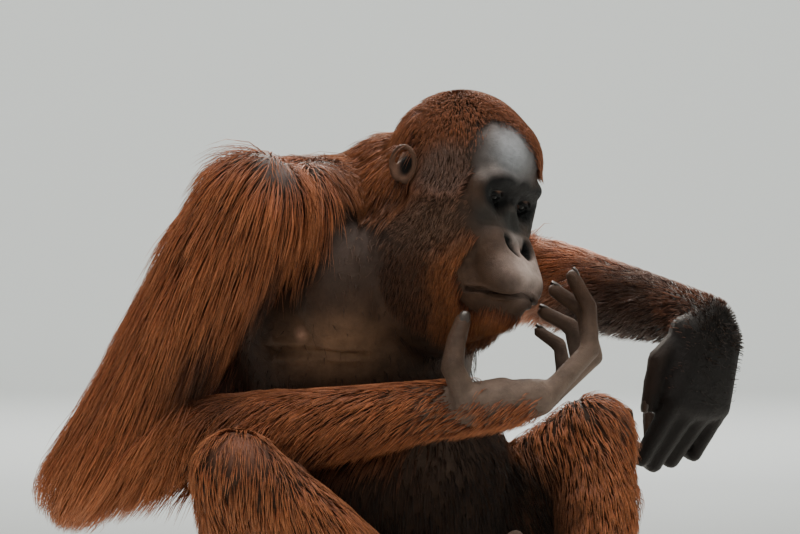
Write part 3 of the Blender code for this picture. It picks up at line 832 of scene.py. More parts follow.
# %% Folds of the face
FOLDS = (   # path, width, depth, in the head's frame; each is mirrored
    ([(1.6, -8.9, -0.9), (2.7, -8.9, -1.35), (3.9, -8.2, -1.0)], 0.15, 0.055),
    ([(1.5, -9.1, -1.6), (2.8, -9.0, -2.1), (4.3, -8.0, -1.6)], 0.17, 0.060),
    ([(1.9, -9.6, -2.5), (3.2, -9.3, -2.9), (4.8, -8.0, -2.6)], 0.18, 0.050),
    ([(2.4, -10.4, -3.4), (3.2, -10.0, -4.4), (4.3, -9.2, -6.2), (4.9, -8.8, -8.4)], 0.34, 0.070),
    ([(0.5, -9.0, 0.4), (0.75, -9.2, 1.2), (0.7, -9.0, 2.2)], 0.17, 0.060),
    ([(3.6, -8.6, 1.9), (4.6, -7.7, 1.4), (5.2, -6.8, 0.5)], 0.18, 0.050),
    ([(1.9, -8.6, 3.6), (3.0, -8.2, 3.8), (4.2, -7.4, 3.5)], 0.18, 0.040),
    ([(1.5, -8.4, 4.6), (2.8, -8.0, 4.9), (4.2, -7.0, 4.6)], 0.18, 0.035),
)
for path, width, depth in FOLDS:
    for way in (path, mirrored(path)):
        face.groove(curve_through(way), width, depth)
face.store()
LIP_CREASES = 15
for step in range(LIP_CREASES):
    across = -3.6 + 7.2 * step / (LIP_CREASES - 1)
    lean = 0.16 * sin(7.0 * step)
    top = (across * 0.88 + lean, -13.0 + 0.16 * across ** 2, -6.3 + 0.2 * sin(3.0 * step))
    foot_end = (across, -14.7 + 0.17 * across ** 2, -8.5 - 0.05 * across ** 2)
    face.groove([top, foot_end], 0.11, 0.055, lips=0.2)
face.store()
print(2 * len(FOLDS), "folds and", LIP_CREASES, "creases over the lip")

# %% Lids
LID_GAP = 0.05            # how far the lid's inner face stands off the eyeball
LID_THICK = 0.19
LID_ROLL = 0.35           # how much thicker the lid is along its edge, as a share
SUNK = 0.12               # how far the skin in the opening lies below the eyeball's surface
OPEN_SIDE = radians(46)   # half the almond's width, from the middle of the eye
OPEN_UP = radians(9)
OPEN_DOWN = radians(22)
SOCKET_SIDE = radians(86)   # the skin is wrapped round the eyeball this far out
SOCKET_TALL = radians(66)
SOCKET_REACH = 4.4        # from the middle of the eye: the skin that is cut finer and evened out
LONGEST_EDGES = (0.0030, 0.0022, 0.0017)
LID_FOLDS = (   # degrees up from the line of sight, width, depth
    (33, 0.12, 0.08), (50, 0.14, 0.06), (-40, 0.12, 0.07), (-56, 0.14, 0.06),
)
GAZE = {"right": Vector((-0.10, -1.0, -0.26)), "left": Vector((0.0, -1.0, -0.26))}


def eye_frame(side):
    """The gaze and the directions up and to the animal's left, across it."""
    ahead = GAZE[side].normalized()
    across = ahead.cross(Vector((0, 0, 1))).normalized()
    return np.array(ahead), np.array(across.cross(ahead)), np.array(across)


def around_eye(side):
    """Each point's direction from the eye as yaw and pitch, and its angle outside the opening."""
    ahead, up, across = eye_frame(side)
    way = unit(face.co - np.array(EYES[side]))
    yaw = np.arctan2(way @ across, way @ ahead)
    pitch = np.arcsin(np.clip(way @ up, -1, 1))
    almond = np.clip(1 - (yaw / OPEN_SIDE) ** 2, 0, None) ** 0.8
    over = np.where(pitch > 0, pitch / OPEN_UP, -pitch / OPEN_DOWN)
    outside = (over - almond) * np.where(pitch > 0, OPEN_UP, OPEN_DOWN)
    return (yaw, pitch), np.maximum(outside, (np.abs(yaw) - OPEN_SIDE) * 0.8)


for side in SIDES:
    offset = face.co - np.array(EYES[side])
    far = np.linalg.norm(offset, axis=1)
    unit_way = offset / far[:, None]
    (yaw, pitch), slack = around_eye(side)
    shut = np.clip(slack / radians(6) + 0.5, 0, 1)
    margin = np.exp(-((slack - radians(5)) / radians(4)) ** 2)        # the rolled edge of the lid
    lid = EYE_RADIUS + LID_GAP + LID_THICK * (1 + LID_ROLL * margin)
    wanted = EYE_RADIUS - SUNK + (lid - EYE_RADIUS + SUNK) * shut
    spread = np.hypot(yaw / SOCKET_SIDE, pitch / SOCKET_TALL)
    hold = fade(np.clip(spread - 0.30, 0, None), 0.70) * fade(np.clip(far - 1.8, 0, None), 1.7)
    face.co += unit_way * ((wanted - far) * hold)[:, None]
face.store()


def split_long(mesh, spots, reach, longest):
    """Cuts the edges near some spots of the head that a push has left too long."""
    bm = bmesh.new()
    bm.from_mesh(mesh)
    local = in_head(points_of(mesh))
    near = np.min([apart(local, spot) for spot in spots], axis=0) < reach
    bm.verts.ensure_lookup_table()
    chosen = [e for e in bm.edges
              if e.calc_length() > longest and near[e.verts[0].index] and near[e.verts[1].index]]
    bmesh.ops.subdivide_edges(bm, edges=chosen, cuts=1)
    bmesh.ops.triangulate(bm, faces=[f for f in bm.faces if len(f.verts) > 3])
    bm.to_mesh(mesh)
    bm.free()
    mesh.update()
    return len(chosen)


cuts = [split_long(skin.data, EYES.values(), SOCKET_REACH, longest) for longest in LONGEST_EDGES]
print("long edges cut round the eyes:", cuts)
face = Face(skin.data)
for side in SIDES:
    _, slack = around_eye(side)
    far = apart(face.co, EYES[side])
    face.relax(rise(slack, radians(9), radians(10)) * fade(np.clip(far - 1.6, 0, None), 2.6), 40)
    face.relax(0.35 * (slack > radians(3)) * (far < 2.2), 3)
face.store()
for side in SIDES:
    ahead, up, across = eye_frame(side)
    for tilt, width, depth in LID_FOLDS:
        fold = []
        for turn in (-52, -30, -8, 14, 36, 54):
            lift = radians(tilt * (1 - (turn / 75) ** 2))
            way = cos(lift) * (ahead * cos(radians(turn)) + across * sin(radians(turn))) + up * sin(lift)
            fold.append(np.array(EYES[side]) + way * (EYE_RADIUS + 0.32))
        face.groove(curve_through(fold), width, depth)
face.store()
print("face worked:", len(face.near), "points")

# %% [markdown]
# ## Chest, hands and feet
#
# The slack skin of the chest folds where the body leans over its arms, and each breast pad carries a nipple.
# On the digits the skin creases over every joint, on the back in fine rings and on the inner side in two
# deep lines, and the palm has the long creases that any gripping hand has.

# %% Body grooves
body_points = points_of(skin.data)
body_normals = normals_of(skin.data)


def body_groove(path, width, depth):
    away = path_distance(body_points, path) / width
    body_points[:] += body_normals * (furrow(away, BODY_LIPS) * depth)[:, None]


BODY_LIPS = 0.35
CHEST_FOLDS = (   # width, depth and path
    (0.0042, 0.0050, [(-0.168, -0.010, 0.392), (-0.130, -0.085, 0.386), (-0.060, -0.122, 0.378),
                      (0.010, -0.130, 0.376)]),
    (0.0036, 0.0038, [(-0.165, -0.020, 0.374), (-0.125, -0.095, 0.368), (-0.050, -0.130, 0.360),
                      (0.030, -0.135, 0.360)]),
    (0.0034, 0.0028, [(-0.160, -0.030, 0.352), (-0.110, -0.110, 0.346), (-0.030, -0.150, 0.340)]),
    (0.0060, 0.0030, [(-0.175, -0.060, 0.520), (-0.158, -0.075, 0.480), (-0.160, -0.065, 0.440)]),
)
RINGS = ((-0.16, 0.0005), (0.16, 0.0006), (0.5, 0.0004))     # place along a joint, in widths, and depth
RING_WIDE = 0.0011
PALM_LINES = (   # places across the palm and along it
    ((0.30, 0.088), (0.012, 0.078), (-0.038, 0.086)),
    ((0.036, 0.070), (0.012, 0.058), (-0.030, 0.064)),
    ((0.020, 0.075), (0.006, 0.050), (0.004, 0.022)),
)
PALM_EDGE = 0.036         # the lines end here, at the edge of the palm
PALM_LINE_WIDE = 0.0016
PALM_LINE_DEEP = 0.0014
SKIN_FLOOR = 0.0004       # what rests on the floor is planed off at this height
for width, depth, path in CHEST_FOLDS:
    body_groove(curve_through(path), width, depth)
NIPPLES = ((-0.149, -0.061, 0.408), (0.135, -0.070, 0.418))
NIPPLE_HIGH = 0.0042
NIPPLE_WIDE = 0.0075
AREOLA_HIGH = 0.0015
AREOLA_WIDE = 0.016
for spot in NIPPLES:
    away = apart(body_points, body_points[np.argmin(apart(body_points, spot))])
    height = NIPPLE_HIGH * fade(away, NIPPLE_WIDE) + AREOLA_HIGH * fade(away, AREOLA_WIDE)
    body_points += body_normals * height[:, None]
for spot, wide, direction, back in knuckles:
    for shift, depth in RINGS:
        middle = np.array(spot + direction * wide * shift)
        offset = body_points - middle
        near = np.linalg.norm(offset, axis=1) < wide * 1.5
        ring = np.exp(-((offset @ np.array(direction)) / RING_WIDE) ** 2) * near
        inner = np.clip(-(offset @ np.array(back)) / wide, 0, 1)
        body_points += body_normals * (-ring * depth * (1 + 1.2 * inner))[:, None]
for limb in ("hand_right", "hand_left"):
    along, across, out = palm_frame(limb)
    for route in PALM_LINES:
        path = [ROOT[limb] + across * min(a, PALM_EDGE) + along * b + out * 0.018 for a, b in route]
        body_groove(curve_through(path), PALM_LINE_WIDE, PALM_LINE_DEEP)
put_points(skin.data, body_points)
skin.data.shade_smooth()
lowest = body_points[:, 2].min()
print("lowest point of the skin:", round(float(lowest) * 1000, 2), "mm")
if lowest < SKIN_FLOOR:
    bm = bmesh.new()
    bm.from_mesh(skin.data)
    rest_on_floor(bm, SKIN_FLOOR)
    bmesh.ops.triangulate(bm, faces=[f for f in bm.faces if len(f.verts) > 3])
    bm.to_mesh(skin.data)
    bm.free()
skin.data.validate()      # drops the few triangles that cutting has made twice

# %% [markdown]
# ## Markings and painted light
#
# Skin and coat are coloured in the same way: by lists of soft patches, each with a place, a size and a
# colour. Later patches lie over earlier ones. Some are the animal's own markings; others are painted shade in
# the sockets, the ear cups, the nostrils, under the throat, in the hollows and undersides of the coat and on the
# left hand, and painted highlights on the brow and the upper lids. The colour goes onto the points of the mesh
# as an attribute, and the material adds what is too fine for points to hold.

# %% Patches of skin colour
SKIN_BASE = "#39271c"
FACE_MARKS_AND_PAINTED_LIGHT = (   # place and size in the head's frame, colour, strength (over one, the middle is flat)
    ((0, -4.0, 0.0), (12, 9.0, 13.0), "#3f322b", 0.9),
    ((0, -9.0, -2.0), (6.6, 4.5, 8.0), "#544a45", 0.9),
    ((-2.0, -7.4, 5.6), (5.4, 5.8, 5.6), "#7b7c7f", 1.15),
    # painted highlight: a pale blue-grey sheen on the bare brow
    ((-2.6, -7.4, 6.4), (2.7, 3.2, 3.6), "#a3a6ac", 0.7),
    *pair((4.9, -7.2, 2.8), (1.8, 2.6, 2.4), "#6b6360", 0.9),
    ((0, -9.2, -1.5), (3.6, 2.4, 2.6), "#2f2d2b", 1.6),
    *pair((4.0, -8.4, -1.6), (3.6, 2.4, 2.6), "#322c28", 1.5),
    ((0, -12.2, -6.4), (5.4, 5.0, 4.4), "#98867f", 2.0),
    ((0, -13.6, -6.0), (3.4, 3.0, 2.4), "#ab9b93", 0.8),
    ((0, -10.8, -3.0), (2.8, 2.0, 1.2), "#857b77", 0.9),
    # painted shade: the deep sockets and the bridge between them made near black
    *pair((3.1, -8.5, 1.3), (3.7, 3.4, 3.0), "#0d0c0d", 2.9),
    ((0, -9.0, 1.9), (2.6, 2.8, 2.3), "#100e0f", 2.4),
    # painted highlight where light from above catches each upper lid
    *pair((3.0, -8.2, 1.30), (0.8, 0.9, 0.30), "#6b5145", 0.9),
    *pair((7.9, 1.9, 0.8), (2.4, 2.8, 3.4), "#6c4f40", 1.3),
    # painted shade in the cup of each ear
    *pair((7.4, 1.8, 0.8), (0.95, 1.40, 1.95), "#0c0807", 2.2),
    *pair((7.0, 2.4, -2.2), (1.6, 2.6, 1.6), "#1a1310", 1.4),
)
BODY_MARKS_AND_SHADE = (   # place and size in the body's frame, colour, strength
    ((0, -0.02, 0.25), (0.30, 0.30, 0.30), "#2a1c15", 0.8),
    ((0, -0.12, 0.45), (0.26, 0.20, 0.19), "#4a362a", 1.2),
    ((-0.120, -0.090, 0.390), (0.110, 0.110, 0.060), "#775a45", 1.1),
    ((0.120, -0.065, 0.400), (0.090, 0.090, 0.060), "#6d5343", 0.9),
    ((-0.110, -0.090, 0.500), (0.110, 0.100, 0.085), "#3a2c25", 1.6),
    ((-0.070, -0.100, 0.540), (0.070, 0.080, 0.060), "#372a25", 1.2),
    # painted shade on the chest under the throat pouch
    ((-0.020, -0.150, 0.430), (0.090, 0.080, 0.070), "#1c1512", 1.2),
    ((-0.202, -0.091, 0.591), (0.045, 0.045, 0.040), "#776a69", 0.8),
    ((-0.200, -0.060, 0.190), (0.130, 0.120, 0.120), "#45281a", 1.2),      # thighs and shins, under the coat
    ((-0.200, -0.160, 0.170), (0.120, 0.120, 0.140), "#4a2a1b", 1.3),
    ((0.150, -0.090, 0.200), (0.120, 0.140, 0.130), "#45281a", 1.0),
    ((0.165, -0.210, 0.190), (0.100, 0.100, 0.140), "#4a2a1b", 1.3),
    ((-0.300, -0.128, 0.296), (0.050, 0.050, 0.050), "#8f6150", 0.9),
    ((0.205, -0.222, 0.312), (0.050, 0.050, 0.050), "#6d4a3b", 0.8),
)


# skin colour of each hand and foot; the left hand's near black is painted shade
LIMB_COLOURS_AND_SHADE = {
    "hand_right": "#6b5a50", "hand_left": "#110f0f", "foot_right": "#5b4a42", "foot_left": "#4a3d38",
}
LIP_LINE = "#4a3b35"
NIPPLE = "#a07a66"
NOSTRIL_SHADE = "#060505"     # painted shade inside the nostrils


def paint(target, weight, code, strength):
    mix = np.clip(weight * strength, 0, 1)[:, None]
    return target * (1 - mix) + np.array(linear(code)) * mix


def store_tint(mesh, colour):
    """Writes one colour for each point of a mesh."""
    rows = colour.reshape(-1, 3)
    tint = mesh.color_attributes.new("Tint", "FLOAT_COLOR", "POINT")
    tint.data.foreach_set("color", np.hstack([rows, np.ones((len(rows), 1))]).astype(np.float32).ravel())


def skin_colour(points):
    colour = np.tile(np.array(linear(SKIN_BASE)), (len(points), 1))
    for centre, semi, code, strength in BODY_MARKS_AND_SHADE:
        colour = paint(colour, blob(points, centre, semi), code, strength)
    local = in_head(points)
    for centre, semi, code, strength in FACE_MARKS_AND_PAINTED_LIGHT:
        colour = paint(colour, blob(local, centre, semi), code, strength)
    colour = paint(colour, fade(path_distance(local, mouth), 0.55), LIP_LINE, 0.9)
    for limb, code in LIMB_COLOURS_AND_SHADE.items():
        along, _, _ = palm_frame(limb)
        far, _ = from_line(points, ROOT[limb] + along * 0.03, ROOT[limb] + along * 0.22)
        reach = 0.115 if "hand" in limb else 0.080
        colour = paint(colour, np.clip(1.7 * fade(far, reach), 0, 1), code, 0.95)
    return colour


final_points = points_of(skin.data)
colour = skin_colour(final_points)
nearest_nipple = np.min([apart(final_points, spot) for spot in NIPPLES], axis=0)
colour = paint(colour, fade(nearest_nipple, 0.012), NIPPLE, 0.9)
hollow = np.empty(len(final_points), np.float32)
skin.data.attributes["Hollow"].data.foreach_get("value", hollow)
colour = paint(colour, hollow, NOSTRIL_SHADE, 1.0)
store_tint(skin.data, colour)
print(len(FACE_MARKS_AND_PAINTED_LIGHT), "patches of colour on the head and", len(BODY_MARKS_AND_SHADE), "on the body")

# %% [markdown]
# ## Skin as a material
#
# Ape skin is thick, grey-brown and faintly greasy: light skids on the brow and the lip and dies in the pores.
# Three sizes of relief are laid over each other: soft folds about 9 mm apart, a net of creases with cells
# about 1.4 mm across, and pores of 0.9 mm. Creases and pores are drawn as coarse as they need to be to show.

# %% Skin material
hide, tree, shader = new_material("bare_ape_skin")   # living hide: dull, with a greasy glint on high places
painted = add_node(tree, "Attribute", {"attribute_name": "Tint"}).outputs["Color"]
toned, blotches, place = mottled(tree, painted, 60.0, 5.0, 0.6, (0.3, 0.7), (0.72, 1.25))
creases = add_node(tree, "TexVoronoi", {"feature": "DISTANCE_TO_EDGE"}, Vector=place, Scale=720.0)
crease_height = add_node(tree, "MapRange", Value=creases.outputs["Distance"], From_Max=0.25, To_Max=0.18)
pores = add_node(tree, "TexNoise", Vector=place, Scale=1100.0, Detail=3.0)
heights = add_node(tree, "Math", {"operation": "MULTIPLY_ADD"}, _0=pores.outputs["Fac"], _1=0.7,
                   _2=crease_height.outputs["Result"])
folds = add_node(tree, "TexNoise", Vector=place, Scale=110.0, Detail=4.0, Distortion=0.8)
all_heights = add_node(tree, "Math", {"operation": "MULTIPLY_ADD"}, _0=folds.outputs["Fac"], _1=1.7,
                       _2=heights.outputs["Value"])
bump = add_node(tree, "Bump", Height=all_heights.outputs["Value"], Strength=0.75, Distance=0.0011)
gloss = add_node(tree, "MapRange", Value=blotches, To_Min=0.42, To_Max=0.66)
tree.links.new(toned, shader.inputs["Base Color"])
tree.links.new(gloss.outputs["Result"], shader.inputs["Roughness"])
tree.links.new(bump.outputs["Normal"], shader.inputs["Normal"])
shader.inputs["IOR"].default_value = 1.42
shader.inputs["Specular IOR Level"].default_value = 0.22
skin.data.materials.clear()
skin.data.materials.append(hide)
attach(skin, "root")
flesh_nodes = [name for name in frame["nodes"] if not name.startswith("eye_")]
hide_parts(*flesh_nodes)
print("the skin replaces", len(flesh_nodes), "solids")

# %% [markdown]
# ## Eyes
#
# The eyeball is turned on a lathe: an arc spun once round the line of sight. Where it meets that line the
# arc bulges a little for the cornea. An orangutan's white is brown, so the whole eye reads as dark
# glass with a chestnut ring. The angle from the line of sight, stored at each point, tells the material
# where pupil, iris and white are.

# %% Eyeballs
CORNEA_RISE = 0.085
IRIS_ANGLE = radians(31)
ARC_STEPS = 32            # from the front of the eyeball to its back
TURN_STEPS = 40           # and round it
eyeball, tree, shader = new_material("wet_eye")   # moist membrane over brown tissue: a hard small glint
angle_of = add_node(tree, "Attribute", {"attribute_name": "FromSight"}).outputs["Fac"]
rings = add_node(tree, "ValToRGB", Fac=angle_of)
stops = ((0.0, "#040303"), (0.13, "#040303"), (0.155, "#2c150b"), (0.30, "#3a1e0f"), (0.36, "#120906"),
         (0.45, "#241a16"), (1.0, "#1c1310"))
ramp = rings.color_ramp
while len(ramp.elements) < len(stops):
    ramp.elements.new(0.5)
for element, (position, code) in zip(ramp.elements, stops):
    element.position = position
    element.color = (*linear(code), 1)
tinted, _, _ = mottled(tree, rings.outputs["Color"], 900.0, 2.0, 0.5, (0.0, 1.0), (0.75, 1.25))
tree.links.new(tinted, shader.inputs["Base Color"])
shader.inputs["Roughness"].default_value = 0.08
shader.inputs["Specular IOR Level"].default_value = 0.12
for side in SIDES:
    arc = []
    for step in range(ARC_STEPS + 1):
        turn = pi * step / ARC_STEPS
        radius = EYE_RADIUS + CORNEA_RISE * float(fade(np.array(turn), IRIS_ANGLE * 1.3))
        arc.append((radius * sin(turn), radius * cos(turn)))
    bm = lathe(arc, TURN_STEPS, 0.0001)
    sight = np.array([v.co.angle(Vector((0, 0, 1)), 0.0) / pi for v in bm.verts])
    turn_to = GAZE[side].to_track_quat("Z", "Y").to_matrix().to_4x4()
    bmesh.ops.transform(bm, matrix=HEAD @ Matrix.Translation(EYES[side]) @ turn_to, verts=bm.verts)
    piece = as_object(bm, "eyeball_" + side)
    layer = piece.data.attributes.new("FromSight", "FLOAT", "POINT")
    layer.data.foreach_set("value", sight.astype(np.float32))
    piece.data.shade_smooth()
    piece.data.materials.append(eyeball)
    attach(piece, "root")
    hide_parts("eye_" + side)
print("eyeball", round(2000 * EYE_RADIUS * HEAD_UNIT, 1), "mm across")

# %% [markdown]
# ## Nails
#
# Apes have flat nails, not claws. Each is a slip of dark horn, arched across and along, that sits in the back
# of the last joint. A grid is bent to the arch, its corners are rounded by pulling the tip in, and a solidify
# operator gives it thickness.

# %% Nails
NAIL_THICK = 0.0007
NAIL_ARCH = 1.05          # radians from the middle of a nail to its side
NAIL_FLOOR = 0.0008       # the curled toes stand on their nails, not in the floor
horn, tree, shader = new_material("nail_horn")   # keratin grown in layers: dark, semi-gloss, finely ridged
place = add_node(tree, "TexCoord").outputs["Object"]
ridges = add_node(tree, "TexNoise", Vector=place, Scale=700.0, Detail=3.0)
tone = add_node(tree, "ValToRGB", Fac=ridges.outputs["Fac"])
tone.color_ramp.elements[0].color = (*linear("#191514"), 1)
tone.color_ramp.elements[1].color = (*linear("#4b3f38"), 1)
relief = add_node(tree, "Bump", Height=ridges.outputs["Fac"], Strength=0.25, Distance=0.0005)
tree.links.new(tone.outputs["Color"], shader.inputs["Base Color"])
tree.links.new(relief.outputs["Normal"], shader.inputs["Normal"])
shader.inputs["Roughness"].default_value = 0.32
all_nails = bmesh.new()
for tip, direction, back, wide in nails:
    bm = bmesh.new()
    bmesh.ops.create_grid(bm, x_segments=8, y_segments=8, size=1.0)
    for vert in bm.verts:
        x, y = vert.co.x, vert.co.y
        narrow = 1.0 - 0.35 * max(0.0, y) ** 3 - 0.10 * max(0.0, -y) ** 2
        bend = x * NAIL_ARCH
        high = (cos(bend) - 1) * wide * 0.75 - 0.12 * wide * y * y
        vert.co = Vector((sin(bend) * wide * 0.80 * narrow, y * wide * 0.85, high))
    bmesh.ops.solidify(bm, geom=bm.faces[:] + bm.edges[:] + bm.verts[:], thickness=-NAIL_THICK)
    bmesh.ops.recalc_face_normals(bm, faces=bm.faces)
    side_way = direction.cross(back)
    middle = tip + direction * wide * 0.15 + back * wide * 0.93
    turn = Matrix((side_way, direction, back)).transposed().to_4x4()
    bmesh.ops.transform(bm, matrix=Matrix.Translation(middle) @ turn, verts=bm.verts)
    mesh = bpy.data.meshes.new("nail")
    bm.to_mesh(mesh)
    bm.free()
    all_nails.from_mesh(mesh)
    bpy.data.meshes.remove(mesh)
for vert in all_nails.verts:
    vert.co.z = max(vert.co.z, NAIL_FLOOR)
nail_piece = as_object(all_nails, "nails")
nail_piece.data.shade_smooth()
nail_piece.data.materials.append(horn)
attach(nail_piece, "root")
print(len(nails), "nails")

# %% [markdown]
# ## How the hair lies
#
# Every hair leaves the skin at a slant and then follows its neighbours. On an orangutan's upper arm they run
# down to the elbow, on the forearm they run up to it, so the two streams meet there and hang as a curtain.
# On the back they run down, on the crown they fan out from a whorl, and under the jaw they make a beard.
# The body is described by a few lines, one for each region. A place belongs to the line it is nearest to,
# and the lie is a blend of the regions round it, so that there are no partings where none should be.

# %% Regions of the coat
def head_spot(x, y, z):
    return HEAD @ Vector((x, y, z))


class Region:
    """A stretch of the body round a line, with its hair."""

    def __init__(self, start, end, radius, flow, length, wide, lift, droop,
                 tufts, rings, room, clump, colours):
        self.start = np.array(start)
        self.end = np.array(end)
        self.radius = radius        # of the body there
        self.flow = flow            # gives the way the hair runs at some points
        self.length = length        # of the hair at the line's start and at its end
        self.wide = wide            # of a lock at its root
        self.lift = radians(lift)   # of a lock off the skin
        self.droop = droop          # how strongly its weight draws it down
        self.tufts = tufts
        self.rings = rings          # of points in a lock
        self.room = room            # the coat's depth
        self.clump = clump          # how far locks run together
        self.colours = colours
        self.short = max(length) < SHORT_HAIR


SHORT_HAIR = 0.021        # below this a lock lies closer and more evenly
RUST = ("#33170e", "#884a2d", "#bd784f")      # root, middle and tip of the hair
DEEP_RUST = ("#28130c", "#6e3a23", "#a46841")
BROWN = ("#120b08", "#291812", "#4c2f21")
BEARD = ("#2e150c", "#6e391f", "#a3673f")
CROWN = ("#32180f", "#774029", "#a26845")
LEG = ("#4b2713", "#874a2d", "#b9784f")
DUSK = ("#38281f", "#6c5042", "#937564")
TEMPLE_SIZE = (0.044, 0.056, 0.044)
EAR_SIZE = (0.026, 0.034, 0.030)
COAT_MARKS_AND_SHADE = (   # where the coat is darker or lighter, mostly painted shade: place and size in the body's frame, colour, strength
    ((-0.262, -0.072, 0.385), (0.080, 0.070, 0.085), "#1f120c", 1.5),    # painted shade in the hollow of the arm
    ((-0.195, -0.072, 0.460), (0.050, 0.060, 0.100), "#2c1910", 1.3),    # painted shade on the inner side of the arm
    ((-0.200, -0.105, 0.268), (0.130, 0.060, 0.034), "#2f1a11", 1.2),    # painted shade under the forearm
    ((0.000, -0.080, 0.240), (0.150, 0.150, 0.150), "#130d0b", 2.0),     # painted shade on the belly and lap
    ((0.090, -0.130, 0.210), (0.090, 0.150, 0.120), "#1b110c", 2.0),     # painted shade on the inner thighs
    ((-0.110, -0.130, 0.190), (0.090, 0.140, 0.100), "#1b110c", 1.8),
    *((head_spot(side * 6.8, -3.2, 2.4), TEMPLE_SIZE, "#7c6055", 2.0) for side in (-1, 1)),   # temples
    ((-0.090, -0.085, 0.520), (0.060, 0.060, 0.050), "#6e5447", 1.3),    # side of the neck
    *((head_spot(side * 6.6, 2.8, -1.8), EAR_SIZE, "#2a1b15", 1.4) for side in (-1, 1)),      # under the ears
    ((0.300, 0.110, 0.500), (0.170, 0.130, 0.110), "#5f3521", 0.7),      # left upper arm
    ((0.395, -0.060, 0.420), (0.110, 0.190, 0.100), "#331b10", 1.6),     # painted shade on the left forearm
    ((0.385, -0.190, 0.385), (0.080, 0.085, 0.085), "#120d0b", 2.2),     # painted shade on the left wrist
    ((0.375, -0.185, 0.310), (0.100, 0.100, 0.130), "#0f0c0b", 2.4),     # painted shade on the back of the left hand
)
DOWN = np.array((0.0, 0.0, -1.0))


def along_limb(start, end, hang):
    way = np.array((Vector(end) - Vector(start)).normalized()) + hang * DOWN
    return lambda points: np.tile(unit(way), (len(points), 1))


def constant(x, y, z):
    return lambda points: np.tile(unit(np.array((x, y, z), float)), (len(points), 1))


def fan_from(whorl, lean):
    """Hair that spreads over the skull from a whorl."""
    core = np.array(head_spot(0, 0, 3.0))
    pole = unit(np.array(head_spot(*whorl)) - core)

    def flow(points):
        way = unit(points - core)
        return unit(way * (way @ pole)[:, None] - pole + np.array(lean))
    return flow


def trunk_flow(points):
    """Down the back, and down and a little to the middle on the belly."""
    way = np.tile(DOWN, (len(points), 1))
    way[:, 1] += np.where(points[:, 1] > 0.03, 0.18, -0.05)
    way[:, 0] += points[:, 0] * np.where(points[:, 1] > 0.03, 0.8, -1.2)
    return unit(way)


regions = {
    "back": Region((0, 0.075, 0.15), (0, 0.075, 0.50), 0.125, trunk_flow, (0.060, 0.080), 0.0016, 15, 0.10,
                   9800, 3, 0.032, 0.45, DEEP_RUST),
    "belly": Region((0, -0.02, 0.12), (0, -0.02, 0.46), 0.130, trunk_flow, (0.040, 0.022), 0.0013, 12, 0.15,
                    4200, 3, 0.017, 0.40, BROWN),
    "nape": Region((0, 0.035, 0.53), head_spot(0, 4.0, 1.0), 0.072, constant(0, 0.55, -1), (0.060, 0.034),
                   0.0014, 12, 0.15, 5400, 3, 0.024, 0.35, DEEP_RUST),
    "crown": Region(head_spot(0, 0.5, 2.0), head_spot(0, -1.5, 4.6), 0.068,
                    fan_from((0, 4.5, 9.5), (0, 0.10, -0.10)),
                    (0.015, 0.012), 0.0009, 5, 0.03, 13000, 2, 0.005, 0.05, CROWN),
    "cheek": Region(head_spot(-4.2, -2.6, -3.6), head_spot(4.2, -2.6, -3.6), 0.030, constant(0, 0.6, -1),
                    (0.009, 0.009), 0.0007, 7, 0.10, 3000, 2, 0.004, 0.05, DUSK),
    "beard": Region(head_spot(-3.2, -7.8, -9.5), head_spot(3.2, -7.8, -9.5), 0.043, constant(0, 0.45, -1),
                    (0.021, 0.021), 0.0009, 10, 0.10, 6000, 3, 0.011, 0.20, BEARD),
    "throat": Region(head_spot(-3.0, -3.6, -10.0), head_spot(3.0, -3.6, -10.0), 0.037, constant(0, 0.45, -1),
                     (0.014, 0.014), 0.0010, 12, 0.12, 900, 2, 0.008, 0.10, BROWN),
}
LIMB_HAIR = {   # joints of each stretch, its radius and its hair
    "upper_arm_right": (SHOULDER, ELBOW, 0.052, (0.060, 0.110), 0.0014, 14, 0.20, 9200, 3, 0.044, 0.45, RUST),
    "upper_arm_left": (SHOULDER, ELBOW, 0.052, (0.050, 0.085), 0.0014, 11, 0.20, 8800, 3, 0.034, 0.35, RUST),
    "forearm_right": (WRIST, ELBOW, 0.038, (0.018, 0.092), 0.0013, 12, 0.30, 8000, 3, 0.038, 0.40, RUST),
    "forearm_left": (WRIST, ELBOW, 0.038, (0.007, 0.068), 0.0013, 9, 0.25, 7600, 3, 0.024, 0.25, RUST),
    "thigh_right": (HIP, KNEE, 0.066, (0.044, 0.028), 0.0016, 8, 0.15, 6000, 3, 0.015, 0.25, LEG),
    "thigh_left": (HIP, KNEE, 0.066, (0.044, 0.028), 0.0016, 8, 0.15, 6000, 3, 0.015, 0.25, LEG),
    "shin_right": (KNEE, ANKLE, 0.040, (0.025, 0.030), 0.0016, 8, 0.15, 6100, 3, 0.013, 0.25, LEG),
    "shin_left": (KNEE, ANKLE, 0.040, (0.025, 0.030), 0.0016, 8, 0.15, 6100, 3, 0.013, 0.25, LEG),
}
HANG = {"upper_arm": 0.25, "forearm": 0.25, "thigh": 1.9, "shin": 0.7}     # how far hair leaves a limb's line
for name, (start, end, radius, *hair) in LIMB_HAIR.items():
    limb, side = name.rsplit("_", 1)
    flow = along_limb(start[side], end[side], HANG[limb])
    regions[name] = Region(start[side], end[side], radius, flow, *hair)


def region_weights(points, softness=0.016):
    """How far each point belongs to each region, and the region it belongs to most."""
    depth = []
    for region in regions.values():
        far, _ = from_line(points, region.start, region.end)
        depth.append(far - region.radius)
    depth = np.array(depth)
    weight = np.exp(-(depth - depth.min(0)) / softness)
    return weight / weight.sum(0), depth.argmin(0)


def lie_of_hair(points):
    weight, _ = region_weights(points)
    way = np.zeros((len(points), 3))
    for share, region in zip(weight, regions.values()):
        way += share[:, None] * region.flow(points)
    return unit(way)


print(len(regions), "regions of coat,", sum(r.tufts for r in regions.values()), "locks")

# %% [markdown]
# ## Where hair grows
#
# A mask says how thick the coat is at each place, from none to full. The face, throat and chest are nearly
# bare, as are palms, soles and digits, the worn caps of the knees and the points of the shoulders. Fur
# that stops at a hard line looks like a wig, so every mask fades.

